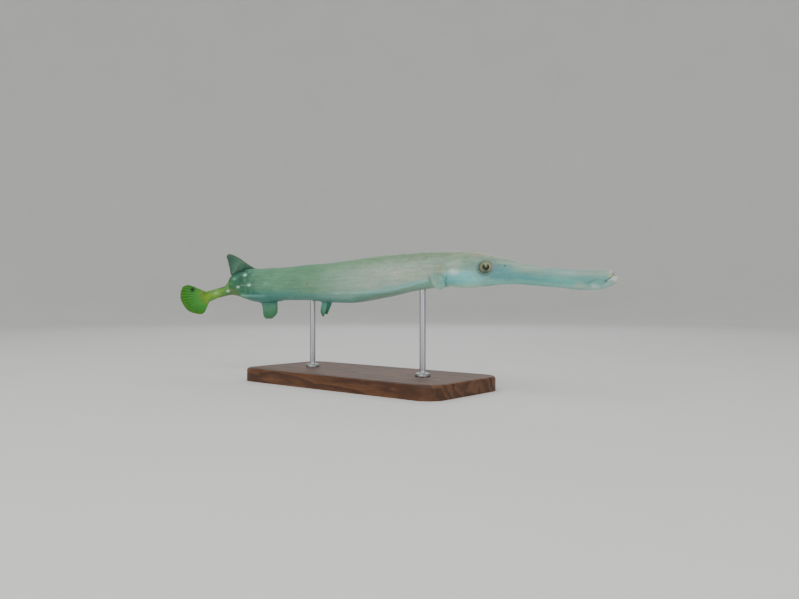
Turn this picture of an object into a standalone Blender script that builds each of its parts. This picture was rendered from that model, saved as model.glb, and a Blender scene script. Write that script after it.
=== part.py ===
"""Life-size display model of a trumpetfish, swimming, held over a flat base by two short rods.

Metres, +Z up, the snout towards +X. The origin is the centre of the underside of the base.
The body is lofted round one spine line. A place on it is given by its distance behind the tip
of the lower jaw, measured along the spine, and by its height over the spine.
"""

import math

import bmesh
import bpy
from mathutils import Matrix, Vector

# Gap that touching pieces keep
GAP = 0.0003

# Spine line: level from the snout, then turned to the fish's right and lowered in the tail
SNOUT_X = 0.2695
SPINE_HEIGHT = 0.105
TURN_RANGE = (0.445, 0.515)
TURN_ANGLE = math.radians(34)
DROOP_RANGE = (0.468, 0.508)
DROOP_ANGLE = math.radians(17)
SPINE_STEP = 0.001

# Body: distance behind the jaw tip, top and bottom heights over the spine, half width
BODY = (
    (0.0000, -0.0013, -0.0034, 0.0012),
    (0.0010, 0.0000, -0.0041, 0.0024),
    (0.0043, 0.0005, -0.0058, 0.0036),
    (0.0049, 0.0040, -0.0062, 0.0038),
    (0.0060, 0.0060, -0.0068, 0.0041),
    (0.0090, 0.0065, -0.0083, 0.0044),
    (0.0165, 0.0063, -0.0104, 0.0046),
    (0.0300, 0.0060, -0.0105, 0.0042),
    (0.0460, 0.0072, -0.0088, 0.0041),
    (0.0690, 0.0096, -0.0067, 0.0045),
    (0.0800, 0.0117, -0.0057, 0.0052),
    (0.0920, 0.0150, -0.0049, 0.0063),
    (0.1040, 0.0184, -0.0049, 0.0077),
    (0.1160, 0.0214, -0.0058, 0.0090),
    (0.1285, 0.0238, -0.0069, 0.0098),
    (0.1420, 0.0254, -0.0077, 0.0103),
    (0.1650, 0.0265, -0.0066, 0.0112),
    (0.1970, 0.0267, -0.0090, 0.0128),
    (0.2400, 0.0257, -0.0161, 0.0140),
    (0.2900, 0.0226, -0.0215, 0.0145),
    (0.3200, 0.0208, -0.0210, 0.0140),
    (0.3500, 0.0200, -0.0188, 0.0130),
    (0.3860, 0.0183, -0.0187, 0.0118),
    (0.4180, 0.0180, -0.0213, 0.0105),
    (0.4440, 0.0178, -0.0196, 0.0090),
    (0.4620, 0.0168, -0.0165, 0.0077),
    (0.4760, 0.0136, -0.0131, 0.0065),
    (0.4830, 0.0095, -0.0121, 0.0056),
    (0.4880, 0.0030, -0.0119, 0.0048),
    (0.4930, -0.0003, -0.0119, 0.0042),
    (0.5050, -0.0004, -0.0117, 0.0035),
    (0.5170, 0.0000, -0.0126, 0.0027),
)
TAIL_END = BODY[-1][0]
RING_POINTS = 28
RING_SQUARENESS = 2.25
BELLY_FULLNESS = 0.10
RING_SPACING = 0.009

# Steps along and round the body over which its slope is read
SLOPE_STEP = 0.002
SLOPE_TURN = 0.02

# Where the body is divided
HEAD_START = 0.095
TRUNK_START = 0.1570
TRUNK_MIDDLE = 0.300
TAIL_START = 0.440

# Mouth, in distance and height: the lips' meeting point and the hinge of the lower jaw
GAPE_CORNER = (0.0088, -0.0036)
JAW_HINGE = (0.0165, -0.0125)
LIP_FRONT_AT = 0.0045
UPPER_LIP_HEIGHT = 0.0010
LOWER_LIP_HEIGHT = 0.0003
LIP_RADIUS = 0.0008
LIP_BEND_AT = 0.0062
LIP_BOW = 0.0018
LIP_BEND_STEPS = 7
BARBEL_START = 0.0016
BARBEL_LENGTH = 0.0072
BARBEL_RADIUS = 0.0005

# Eye and nostrils
EYE_AT = 0.1174
EYE_HEIGHT = 0.0101
EYE_LENGTH = 0.0140
EYE_DEPTH = 0.0113
EYE_THICKNESS = 0.0092
EYE_OUT = 0.0068
ORBIT_RIM_RADIUS = 0.0010
NOSTRILS_AT = (0.0985, 0.1030)
NOSTRIL_HEIGHT = 0.0110
NOSTRIL_RADIUS = 0.0006
NOSTRIL_DEPTH = 0.0009

# Gill cover: a thin plate on each side of the head
COVER_AT = 0.1398
COVER_HALF_LENGTH = 0.0174
COVER_ANGLE = math.radians(-28)
COVER_HALF_ANGLE = math.radians(40)
COVER_THICKNESS = 0.0012
COVER_EDGE = 0.0005

# Folded spines along the back
SPINE_COUNT = 10
SPINES_FROM = 0.190
SPINES_TO = 0.408
FOLDED_SPINE_LENGTH = 0.0085
FOLDED_SPINE_RISE = 0.0007
FOLDED_SPINE_WIDTH = 0.0013

# Fins
MEMBRANE = 0.0005
RAY_ROOT = 0.0012
RAY_TIP = 0.0007
CAUDAL_RAY_ROOT = 0.0017

# Dorsal and anal fins: the root's ends, and the free margin as share of the root, distance and height
DORSAL_RAYS = 22
DORSAL_ROOT = (0.4415, 0.4815)
DORSAL_MARGIN = (
    (0.00, 0.4475, 0.0197),
    (0.12, 0.4590, 0.0250),
    (0.26, 0.4730, 0.0327),
    (0.38, 0.4836, 0.0382),
    (0.48, 0.4860, 0.0345),
    (0.70, 0.4847, 0.0262),
    (1.00, 0.4832, 0.0125),
)
ANAL_RAYS = 22
ANAL_ROOT = (0.4045, 0.4560)
ANAL_MARGIN = (
    (0.00, 0.4036, -0.0270),
    (0.07, 0.4042, -0.0325),
    (0.16, 0.4082, -0.0372),
    (0.30, 0.4160, -0.0402),
    (0.40, 0.4232, -0.0404),
    (0.45, 0.4284, -0.0366),
    (0.49, 0.4298, -0.0290),
    (0.54, 0.4328, -0.0226),
    (1.00, 0.4590, -0.0184),
)

# Caudal fin: the margin as angle over the axis, in degrees, and length of the ray
CAUDAL_RAYS = 15
CAUDAL_MARGIN = (
    (-64.0, 0.0170),
    (-56.0, 0.0218),
    (-36.0, 0.0258),
    (-10.0, 0.0314),
    (20.0, 0.0347),
    (36.0, 0.0342),
    (46.0, 0.0295),
    (51.0, 0.0235),
)

# Paired fins
PECTORAL_RAYS = 11
PECTORAL_AT = 0.1588
PECTORAL_ANGLE = math.radians(-30)
PECTORAL_ROOT = 0.0056
PECTORAL_LENGTH = 0.0124
PECTORAL_BULGE = 0.20
PECTORAL_SHORTENING = 0.52
PECTORAL_FLARE = math.radians(11)
PECTORAL_FAN = (math.radians(12), math.radians(-72))
PECTORAL_LIFT = {1: math.radians(28), -1: 0.0}
PELVIC_RAYS = 6
PELVIC_AT = 0.3190
PELVIC_ROOT = 0.0080
PELVIC_ANGLE = math.radians(-80)
PELVIC_LENGTH = 0.0168
PELVIC_SPLAY = math.radians(5)
PELVIC_NARROWING = 0.003
PELVIC_LEAN = {1: math.radians(30), -1: math.radians(12)}

# Stand
BASE_LENGTH = 0.260
BASE_WIDTH = 0.112
BASE_HEIGHT = 0.014
BASE_CORNER = 0.018
BASE_EDGE = 0.0025
ROD_RADIUS = 0.003
ROD_FOOT_RADIUS = 0.0075
ROD_FOOT_HEIGHT = 0.003
FRONT_ROD_AT = 0.1935
REAR_ROD_AT = 0.3455
ROD_SIDES = 16


def linear(red, green, blue):
    """Screen colour, 0 to 255, as the linear colour that a shader takes."""
    return [((c / 255 + 0.055) / 1.055) ** 2.4 if c > 10 else c / 255 / 12.92 for c in (red, green, blue)]


def material(name, colour, roughness, metallic=0.0):
    made = bpy.data.materials.new(name)
    made.use_nodes = True
    shader = made.node_tree.nodes["Principled BSDF"]
    shader.inputs["Base Color"].default_value = (*linear(*colour), 1.0)
    shader.inputs["Roughness"].default_value = roughness
    shader.inputs["Metallic"].default_value = metallic
    return made


def curve_through(stations, column, at):
    """A column of the stations at a distance, on a smooth curve that doesn't overshoot them."""
    places = [row[0] for row in stations]
    values = [row[column] for row in stations]
    at = min(max(at, places[0]), places[-1])
    i = max(k for k in range(len(places) - 1) if places[k] <= at)
    slopes = [
        (values[k + 1] - values[k]) / (places[k + 1] - places[k]) for k in range(len(places) - 1)
    ]

    def tangent(k):
        if k in (0, len(places) - 1):
            return slopes[min(k, len(slopes) - 1)]
        before, after = slopes[k - 1], slopes[k]
        return 0.0 if before * after <= 0 else 2 * before * after / (before + after)

    span = places[i + 1] - places[i]
    t = (at - places[i]) / span
    return (
        (2 * t**3 - 3 * t**2 + 1) * values[i]
        + (t**3 - 2 * t**2 + t) * span * tangent(i)
        + (3 * t**2 - 2 * t**3) * values[i + 1]
        + (t**3 - t**2) * span * tangent(i + 1)
    )


def ease(start, end, at):
    """0 before start, 1 after end, and a smooth rise between them."""
    t = min(max((at - start) / (end - start), 0.0), 1.0)
    return t * t * (3 - 2 * t)


def tail_direction(at):
    """Unit vector towards the tail, along the spine, at a distance."""
    turn = TURN_ANGLE * ease(*TURN_RANGE, at)
    droop = DROOP_ANGLE * ease(*DROOP_RANGE, at)
    level = Vector((-math.cos(turn), -math.sin(turn), 0.0)) * math.cos(droop)
    return level - Vector((0.0, 0.0, math.sin(droop)))


def spine_line():
    """The spine's points, one for each step of distance."""
    points = [Vector((SNOUT_X, 0.0, SPINE_HEIGHT))]
    steps = int(TAIL_END / SPINE_STEP) + 60
    for k in range(steps):
        points.append(points[-1] + tail_direction((k + 0.5) * SPINE_STEP) * SPINE_STEP)
    return points


SPINE_LINE = spine_line()


def place(at, height=0.0, side=0.0):
    """The point at a distance along the spine, a height over it and a way to the fish's left."""
    k = min(max(int(at / SPINE_STEP), 0), len(SPINE_LINE) - 2)
    centre = SPINE_LINE[k].lerp(SPINE_LINE[k + 1], at / SPINE_STEP - k)
    back = tail_direction(at)
    left = Vector((back.y, -back.x, 0.0)).normalized()
    up = left.cross(back)
    return centre + up * height + left * side


def rounded(value, power):
    return math.copysign(abs(value) ** power, value)


def section(at, angle):
    """Side and height of the body's surface at a distance.

    Angle 0 is the left side, and a quarter turn the back.
    """
    top = curve_through(BODY, 1, at)
    bottom = curve_through(BODY, 2, at)
    width = curve_through(BODY, 3, at)
    power = 2 / RING_SQUARENESS
    fuller = 1 - BELLY_FULLNESS * math.sin(angle)
    side = width * rounded(math.cos(angle), power) * fuller
    height = (top + bottom) / 2 + (top - bottom) / 2 * rounded(math.sin(angle), power)
    return side, height


def surface(at, angle, out=0.0):
    """The point on the body's surface, or this far out of it."""
    side, height = section(at, angle)
    here = place(at, height, side)
    if not out:
        return here
    along = surface(at + SLOPE_STEP, angle) - surface(at - SLOPE_STEP, angle)
    around = surface(at, angle + SLOPE_TURN) - surface(at, angle - SLOPE_TURN)
    normal = around.cross(along).normalized()
    middle = (section(at, math.pi / 2)[1] + section(at, -math.pi / 2)[1]) / 2
    if normal.dot(here - place(at, middle)) < 0:
        normal = -normal
    return here + normal * out


def ring(at):
    return [surface(at, 2 * math.pi * k / RING_POINTS) for k in range(RING_POINTS)]


def spread(start, end, step):
    """Distances from start to end, evenly spaced by about a step."""
    count = max(1, round((end - start) / step))
    return [start + (end - start) * k / count for k in range(count + 1)]


def new_object(name, mesh, look):
    made = bpy.data.objects.new(name, mesh)
    bpy.context.scene.collection.objects.link(made)
    if look:
        mesh.materials.append(look)
    return made


def solid_from(name, shape, look, sharp=math.radians(35)):
    """An object from a closed bmesh, with its faces turned out and shaded smooth."""
    bmesh.ops.recalc_face_normals(shape, faces=shape.faces)
    mesh = bpy.data.meshes.new(name)
    shape.to_mesh(mesh)
    shape.free()
    mesh.shade_smooth()
    mesh.set_sharp_from_angle(angle=sharp)
    return new_object(name, mesh, look)


def loft(name, rings, look):
    """A closed solid through rings of points, with flat ends."""
    shape = bmesh.new()
    rows = [[shape.verts.new(p) for p in points] for points in rings]
    count = len(rows[0])
    for row, following in zip(rows, rows[1:]):
        for k in range(count):
            shape.faces.new((row[k], row[(k + 1) % count], following[(k + 1) % count], following[k]))
    for row in (rows[0], rows[-1]):
        middle = shape.verts.new(sum((v.co for v in row), Vector()) / count)
        for k in range(count):
            shape.faces.new((row[k], row[(k + 1) % count], middle))
    return solid_from(name, shape, look)


def body_loft(name, distances, look):
    return loft(name, [ring(at) for at in distances], look)


def prism(name, outline, half_width):
    """A block across the fish from an outline in distance and height."""
    shape = bmesh.new()
    sides = [
        [shape.verts.new(place(at, height, side)) for at, height in outline]
        for side in (-half_width, half_width)
    ]
    count = len(outline)
    for k in range(count):
        shape.faces.new((sides[0][k], sides[0][(k + 1) % count], sides[1][(k + 1) % count], sides[1][k]))
    for side in sides:
        shape.faces.new(side)
    return solid_from(name, shape, None)


def ellipsoid(name, centre, size, look, segments=20, rings=10):
    """size is length, width and height. The poles lie across the fish."""
    shape = bmesh.new()
    bmesh.ops.create_uvsphere(shape, u_segments=segments, v_segments=rings, radius=0.5)
    bmesh.ops.rotate(shape, verts=shape.verts, matrix=Matrix.Rotation(math.pi / 2, 3, "X"))
    bmesh.ops.scale(shape, verts=shape.verts, vec=size)
    bmesh.ops.translate(shape, verts=shape.verts, vec=centre)
    return solid_from(name, shape, look)


def tube(name, points, radii, sides=8):
    """A round, tapered tube along points, with flat ends."""
    rings = []
    for k, point in enumerate(points):
        along = (points[min(k + 1, len(points) - 1)] - points[max(k - 1, 0)]).normalized()
        across = along.orthogonal().normalized()
        if k:
            across = (last - along * last.dot(along)).normalized()
        last = across
        over = along.cross(across)
        rings.append(
            [
                point + (across * math.cos(a) + over * math.sin(a)) * radii[k]
                for a in (2 * math.pi * j / sides for j in range(sides))
            ]
        )
    return loft(name, rings, None)


def apply_modifiers(made):
    bpy.context.view_layer.update()
    graph = bpy.context.evaluated_depsgraph_get()
    mesh = bpy.data.meshes.new_from_object(made.evaluated_get(graph))
    made.modifiers.clear()
    made.data = mesh


def keep_largest(made):
    """Leaves only the closed surface with the largest volume."""
    shape = bmesh.new()
    shape.from_mesh(made.data)
    unseen = set(shape.faces)
    islands = []
    while unseen:
        island, waiting = set(), [unseen.pop()]
        while waiting:
            face = waiting.pop()
            island.add(face)
            for edge in face.edges:
                for other in edge.link_faces:
                    if other in unseen:
                        unseen.discard(other)
                        waiting.append(other)
        islands.append(island)

    def volume(island):
        total = 0.0
        for face in island:
            first = face.verts[0].co
            for a, b in zip(face.verts[1:], face.verts[2:]):
                total += first.dot(a.co.cross(b.co)) / 6
        return abs(total)

    largest = max(islands, key=volume)
    loose = [face for face in shape.faces if face not in largest]
    bmesh.ops.delete(shape, geom=loose, context="FACES")
    shape.to_mesh(made.data)
    shape.free()


def combine(made, others, operation, solver="EXACT"):
    """Joins the other solids to a solid, or cuts them from it, and removes them."""
    group = bpy.data.collections.new("pieces_of_" + made.name)
    for other in others:
        group.objects.link(other)
    change = made.modifiers.new("combine", "BOOLEAN")
    change.operation = operation
    change.operand_type = "COLLECTION"
    change.collection = group
    change.solver = solver
    apply_modifiers(made)
    for other in others:
        bpy.data.objects.remove(other)
    bpy.data.collections.remove(group)
    keep_largest(made)
    made.data.shade_smooth()
    made.data.set_sharp_from_angle(angle=math.radians(35))


def fin(name, middle, ray_count, rows, look, ray_root=RAY_ROOT):
    """A thin blade with raised rays, the same triangles on both faces.

    middle(t, v) gives a point of the mid surface and the unit vector across it. t runs along the
    root, and v from the root to the margin.
    """
    columns = 2 * ray_count - 1
    shape = bmesh.new()
    faces = []
    for side in (1, -1):
        grid = []
        for c in range(columns):
            line = []
            for r in range(rows + 1):
                v = r / rows
                point, across = middle(c / (columns - 1), v)
                thick = MEMBRANE
                if c % 2 == 0:
                    thick = ray_root + (RAY_TIP - ray_root) * v
                line.append(shape.verts.new(point + across * (side * thick / 2)))
            grid.append(line)
        faces.append(grid)
    near, far = faces
    for c in range(columns - 1):
        for r in range(rows):
            for grid in (near, far):
                a, b = grid[c][r], grid[c + 1][r]
                d, e = grid[c + 1][r + 1], grid[c][r + 1]
                shape.faces.new((a, b, d))
                shape.faces.new((a, d, e))
    rim = (
        [(c, 0) for c in range(columns)]
        + [(columns - 1, r) for r in range(1, rows + 1)]
        + [(c, rows) for c in range(columns - 2, -1, -1)]
        + [(0, r) for r in range(rows - 1, 0, -1)]
    )
    for (c, r), (c2, r2) in zip(rim, rim[1:] + rim[:1]):
        shape.faces.new((near[c][r], near[c2][r2], far[c2][r2]))
        shape.faces.new((near[c][r], far[c2][r2], far[c][r]))
    return solid_from(name, shape, look)


def lip(name, front_height, rise):
    """A rounded lip along the mouth, from corner to corner round the front."""
    corner_at, corner_height = GAPE_CORNER
    steps, sunk, corner_share = 4, 0.55, 0.45

    def height_at(at):
        share = min(max((at - LIP_FRONT_AT) / (corner_at - LIP_FRONT_AT), 0.0), 1.0)
        return front_height + (corner_height - front_height) * share + rise

    flank = []
    for k in range(steps + 1):
        at = corner_at + (LIP_BEND_AT - corner_at) * k / steps
        flank.append((at, side_at(at, height_at(at)) - LIP_RADIUS * sunk))
    bend = []
    for k in range(1, LIP_BEND_STEPS):
        turn = math.pi * k / LIP_BEND_STEPS
        bend.append((LIP_BEND_AT - LIP_BOW * math.sin(turn), -flank[-1][1] * math.cos(turn)))
    path = [(at, -side) for at, side in flank] + bend + flank[::-1]
    points = [place(at, height_at(at), side) for at, side in path]
    count = len(points)
    fullness = [math.sin(math.pi * (k + 0.5) / count) ** 0.5 for k in range(count)]
    radii = [LIP_RADIUS * (corner_share + (1 - corner_share) * share) for share in fullness]
    return tube(name, points, radii)


def barbel():
    """The small barbel of the chin, lying back under the jaw."""
    steps, sunk, taper = 5, 0.2, 0.6
    points = []
    for k in range(steps + 1):
        at = BARBEL_START + BARBEL_LENGTH * k / steps
        chin = section(at, -math.pi / 2)[1]
        points.append(place(at, chin + BARBEL_RADIUS * sunk))
    radii = [BARBEL_RADIUS * (1 - taper * k / steps) for k in range(steps + 1)]
    return tube("barbel", points, radii, sides=6)


def make_snout_and_jaw(skin):
    """The tube of the snout and the lower jaw, one shape parted along the mouth."""
    tip = [0.0, 0.0004, 0.0010, 0.0020, 0.0032, 0.0043, 0.0046, 0.0049, 0.0054, 0.0060, 0.0073]
    jaw_rings = tip + spread(0.0090, 0.0180, 0.0023)
    snout = body_loft("snout", jaw_rings + spread(0.0180, HEAD_START - GAP / 2, 0.0078)[1:], skin)
    jaw = body_loft("lower_jaw", jaw_rings, skin)
    lip_rise = LIP_RADIUS * 0.4
    combine(snout, [lip("upper_lip", UPPER_LIP_HEIGHT, lip_rise)], "UNION", "MANIFOLD")
    combine(jaw, [lip("lower_lip", LOWER_LIP_HEIGHT, -lip_rise), barbel()], "UNION", "MANIFOLD")
    corner, hinge = Vector(GAPE_CORNER), Vector(JAW_HINGE)
    slit = Vector((GAP, GAP * 0.6))
    # The cutters reach past the snout on every side
    below, above, ahead, half_width = -0.030, 0.020, -0.010, 0.010
    under_jaw = [
        tuple(corner + slit),
        (LIP_FRONT_AT, UPPER_LIP_HEIGHT),
        (ahead, UPPER_LIP_HEIGHT),
        (ahead, below),
        (hinge.x + GAP, below),
        tuple(hinge + slit),
    ]
    far_back = jaw_rings[-1] + 0.002
    over_jaw = [
        tuple(corner),
        (LIP_FRONT_AT, LOWER_LIP_HEIGHT),
        (ahead, LOWER_LIP_HEIGHT + 0.0005),
        (ahead, above),
        (far_back, above),
        (far_back, below),
        (hinge.x, below),
        tuple(hinge),
    ]
    combine(snout, [prism("under_jaw", under_jaw, half_width)], "DIFFERENCE", "MANIFOLD")
    combine(jaw, [prism("over_jaw", over_jaw, half_width)], "DIFFERENCE", "MANIFOLD")


def make_head(skin):
    head = body_loft("head", spread(HEAD_START + GAP / 2, TRUNK_START - GAP / 2, 0.0062), skin)
    rims, cuts = [], []
    for side in (1, -1):
        centre = place(EYE_AT, EYE_HEIGHT, side * EYE_OUT)
        points = []
        turns = 24
        for k in range(turns):
            a = 2 * math.pi * k / turns
            at = EYE_AT + (EYE_LENGTH / 2 + GAP) * math.cos(a)
            height = EYE_HEIGHT + (EYE_DEPTH / 2 + GAP) * math.sin(a)
            points.append(place(at, height, side * side_at(at, height)))
        rims.append(closed_tube(f"rim_{side}", points, ORBIT_RIM_RADIUS))
        cuts.append(
            ellipsoid(
                f"socket_{side}",
                centre,
                (EYE_LENGTH + 2 * GAP, EYE_THICKNESS + 2 * GAP, EYE_DEPTH + 2 * GAP),
                None,
            )
        )
        for at in NOSTRILS_AT:
            wall = side_at(at, NOSTRIL_HEIGHT)
            ends = [
                place(at, NOSTRIL_HEIGHT, side * (wall - NOSTRIL_DEPTH)),
                place(at, NOSTRIL_HEIGHT, side * (wall + NOSTRIL_DEPTH)),
            ]
            cuts.append(tube(f"nostril_{side}_{at}", ends, [NOSTRIL_RADIUS] * 2))
    combine(head, rims, "UNION")
    combine(head, cuts, "DIFFERENCE")


def side_at(at, height):
    """Half width of the body at a height over the spine."""
    low, high = -math.pi / 2, math.pi / 2
    for _ in range(30):
        angle = (low + high) / 2
        if section(at, angle)[1] < height:
            low = angle
        else:
            high = angle
    return section(at, angle)[0]


def closed_tube(name, points, radius, sides=8):
    """A round tube that closes on itself."""
    count = len(points)
    middle = sum(points, Vector()) / count
    shape = bmesh.new()
    rows = []
    for k, point in enumerate(points):
        along = (points[(k + 1) % count] - points[k - 1]).normalized()
        out = point - middle
        out = (out - along * out.dot(along)).normalized()
        over = along.cross(out)
        rows.append(
            [
                shape.verts.new(point + (out * math.cos(a) + over * math.sin(a)) * radius)
                for a in (2 * math.pi * j / sides for j in range(sides))
            ]
        )
    for k in range(count):
        row, following = rows[k], rows[(k + 1) % count]
        for j in range(sides):
            shape.faces.new((row[j], row[(j + 1) % sides], following[(j + 1) % sides], following[j]))
    return solid_from(name, shape, None)


def make_eyes(look):
    for name, side in (("eye_left", 1), ("eye_right", -1)):
        centre = place(EYE_AT, EYE_HEIGHT, side * EYE_OUT)
        ellipsoid(name, centre, (EYE_LENGTH, EYE_THICKNESS, EYE_DEPTH), look)


def make_gill_cover(name, side, skin):
    """A thin rounded plate over the side of the head."""
    turns, steps = 22, 4
    shape = bmesh.new()
    faces = []
    for outer in (False, True):
        rows = []
        for r in range(steps + 1):
            share = r / steps
            row = []
            for k in range(turns if r else 1):
                a = 2 * math.pi * k / turns
                at = COVER_AT + COVER_HALF_LENGTH * share * rounded(math.cos(a), 0.8)
                angle = COVER_ANGLE + COVER_HALF_ANGLE * share * rounded(math.sin(a), 0.8)
                thick = COVER_EDGE + (COVER_THICKNESS - COVER_EDGE) * (1 - share**3)
                out = GAP + 0.0001 + (thick if outer else 0.0)
                point = surface(at, angle if side > 0 else math.pi - angle, out)
                row.append(shape.verts.new(point))
            rows.append(row)
        faces.append(rows)
    for rows in faces:
        for k in range(turns):
            j = (k + 1) % turns
            shape.faces.new((rows[0][0], rows[1][k], rows[1][j]))
            for r in range(1, steps):
                shape.faces.new((rows[r][k], rows[r + 1][k], rows[r + 1][j]))
                shape.faces.new((rows[r][k], rows[r + 1][j], rows[r][j]))
    inner, outer = faces[0][-1], faces[1][-1]
    for k in range(turns):
        j = (k + 1) % turns
        shape.faces.new((inner[k], inner[j], outer[j]))
        shape.faces.new((inner[k], outer[j], outer[k]))
    return solid_from(name, shape, skin)


def folded_spine(k, at):
    """One spine of the back, lying backward along the midline."""
    half = FOLDED_SPINE_WIDTH / 2
    sunk = 0.0012
    shape = bmesh.new()
    rings = []
    for share, rise, width in ((0.0, 0.15, 0.7), (0.35, 1.0, 1.0), (1.0, 0.45, 0.35)):
        here = at + FOLDED_SPINE_LENGTH * share
        back = section(here, math.pi / 2)[1]
        rings.append(
            [
                shape.verts.new(place(here, back - sunk, half * width)),
                shape.verts.new(place(here, back + FOLDED_SPINE_RISE * rise, half * width * 0.5)),
                shape.verts.new(place(here, back + FOLDED_SPINE_RISE * rise, -half * width * 0.5)),
                shape.verts.new(place(here, back - sunk, -half * width)),
            ]
        )
    for row, following in zip(rings, rings[1:]):
        for j in range(4):
            shape.faces.new((row[j], row[(j + 1) % 4], following[(j + 1) % 4], following[j]))
    shape.faces.new(rings[0])
    shape.faces.new(rings[-1])
    return solid_from(f"folded_spine_{k}", shape, None)


def make_trunk(skin):
    front_rings = spread(TRUNK_START + GAP / 2, TRUNK_MIDDLE - GAP / 2, RING_SPACING)
    rear_rings = spread(TRUNK_MIDDLE + GAP / 2, TAIL_START - GAP / 2, RING_SPACING)
    front = body_loft("trunk_front", front_rings, skin)
    rear = body_loft("trunk_rear", rear_rings, skin)
    spines = {front: [], rear: []}
    for k in range(SPINE_COUNT):
        at = SPINES_FROM + (SPINES_TO - SPINES_FROM) * k / (SPINE_COUNT - 1)
        on_front = at + FOLDED_SPINE_LENGTH < TRUNK_MIDDLE - GAP
        on_rear = at > TRUNK_MIDDLE + GAP
        if on_front or on_rear:
            spines[front if on_front else rear].append(folded_spine(k, at))
    for trunk, pieces in spines.items():
        combine(trunk, pieces, "UNION")


def make_tail(skin):
    shoulder = 0.476
    thick = spread(TAIL_START + GAP / 2, shoulder, 0.0060)
    thin = spread(shoulder, TAIL_END, 0.0034)
    body_loft("tail", thick + thin[1:], skin)


def midline(at, height):
    """Place on the fish's middle plane and the unit vector across it."""
    point = place(at, height)
    return point, (place(at, height, 0.01) - point).normalized()


def make_midline_fin(name, side_angle, root, margin, ray_count, rows, look):
    """A fin on the back or the belly, whose root follows the body."""
    start, end = root
    away = math.copysign(GAP, side_angle)

    def middle(t, v):
        root_at = start + (end - start) * t
        root_height = section(root_at, side_angle)[1] + away
        at = root_at + (curve_through(margin, 1, t) - root_at) * v
        height = root_height + (curve_through(margin, 2, t) - root_height) * v
        # A ray that leans far back must stay clear of the body under it
        body_height = section(min(at, TAIL_END), side_angle)[1] + away
        if (height - body_height) * away < 0:
            height = body_height
        return midline(at, height)

    fin(name, middle, ray_count, rows, look)


def make_caudal_fin(look):
    top = section(TAIL_END, math.pi / 2)[1] - RAY_ROOT / 2
    bottom = section(TAIL_END, -math.pi / 2)[1] + RAY_ROOT / 2
    centre = (top + bottom) / 2
    lowest, highest = CAUDAL_MARGIN[0][0], CAUDAL_MARGIN[-1][0]

    def middle(t, v):
        root_height = top + (bottom - top) * t
        degrees = highest + (lowest - highest) * t
        length = curve_through(CAUDAL_MARGIN, 1, degrees)
        angle = math.radians(degrees)
        at = TAIL_END + GAP + length * math.cos(angle) * v
        height = root_height + (centre + length * math.sin(angle) - root_height) * v
        return midline(at, height)

    fin("caudal_fin", middle, CAUDAL_RAYS, 6, look, ray_root=CAUDAL_RAY_ROOT)


def side_fin_frame(at, angle):
    """Surface point, and unit vectors back, up and out, for a fin that grows from the side."""
    point = surface(at, angle)
    out = (surface(at, angle, 0.001) - point).normalized()
    back = (surface(at + 0.003, angle) - surface(at - 0.003, angle)).normalized()
    up = out.cross(back)
    if up.z < 0:
        up = -up
    return point, back, up, out


def make_pectoral_fin(name, side, look):
    """A small fan on the side, behind the gill cover, whose lower rays are the shorter."""
    upper, lower = PECTORAL_FAN
    cos_flare, sin_flare = math.cos(PECTORAL_FLARE), math.sin(PECTORAL_FLARE)
    angle = PECTORAL_ANGLE if side > 0 else math.pi - PECTORAL_ANGLE
    point, back, up, out = side_fin_frame(PECTORAL_AT, angle)
    across = (out * cos_flare - back * sin_flare).normalized()
    root_out = GAP + RAY_ROOT / 2 + 0.0004

    def middle(t, v):
        fan = upper + (lower - upper) * t + PECTORAL_LIFT[side]
        shape = 1 + PECTORAL_BULGE * math.sin(math.pi * t) - PECTORAL_SHORTENING * t * t
        way = (back * math.cos(fan) + up * math.sin(fan)) * cos_flare + out * sin_flare
        root = point + up * (PECTORAL_ROOT * (0.5 - t)) + out * root_out
        return root + way * (PECTORAL_LENGTH * shape * v), across

    fin(name, middle, PECTORAL_RAYS, 4, look)


def make_pelvic_fin(name, side, look):
    """A narrow fin under the belly, pointing down and a little back."""
    angle = PELVIC_ANGLE if side > 0 else math.pi - PELVIC_ANGLE
    sin_splay, cos_splay = math.sin(PELVIC_SPLAY), math.cos(PELVIC_SPLAY)
    down = Vector((0.0, side * sin_splay, -cos_splay))
    across = Vector((0.0, side * cos_splay, sin_splay))

    def middle(t, v):
        point, back, up, out = side_fin_frame(PELVIC_AT + PELVIC_ROOT * t, angle)
        lean = PELVIC_LEAN[side] + math.radians(8) * t
        length = PELVIC_LENGTH * (0.92 + 0.16 * t - 0.42 * t * t)
        way = down * math.cos(lean) + back * math.sin(lean)
        narrow = back * (PELVIC_NARROWING * (0.3 - t) * v * v)
        return point + out * (GAP + 0.0001) + way * (length * v) + narrow, across

    fin(name, middle, PELVIC_RAYS, 4, look)


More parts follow.
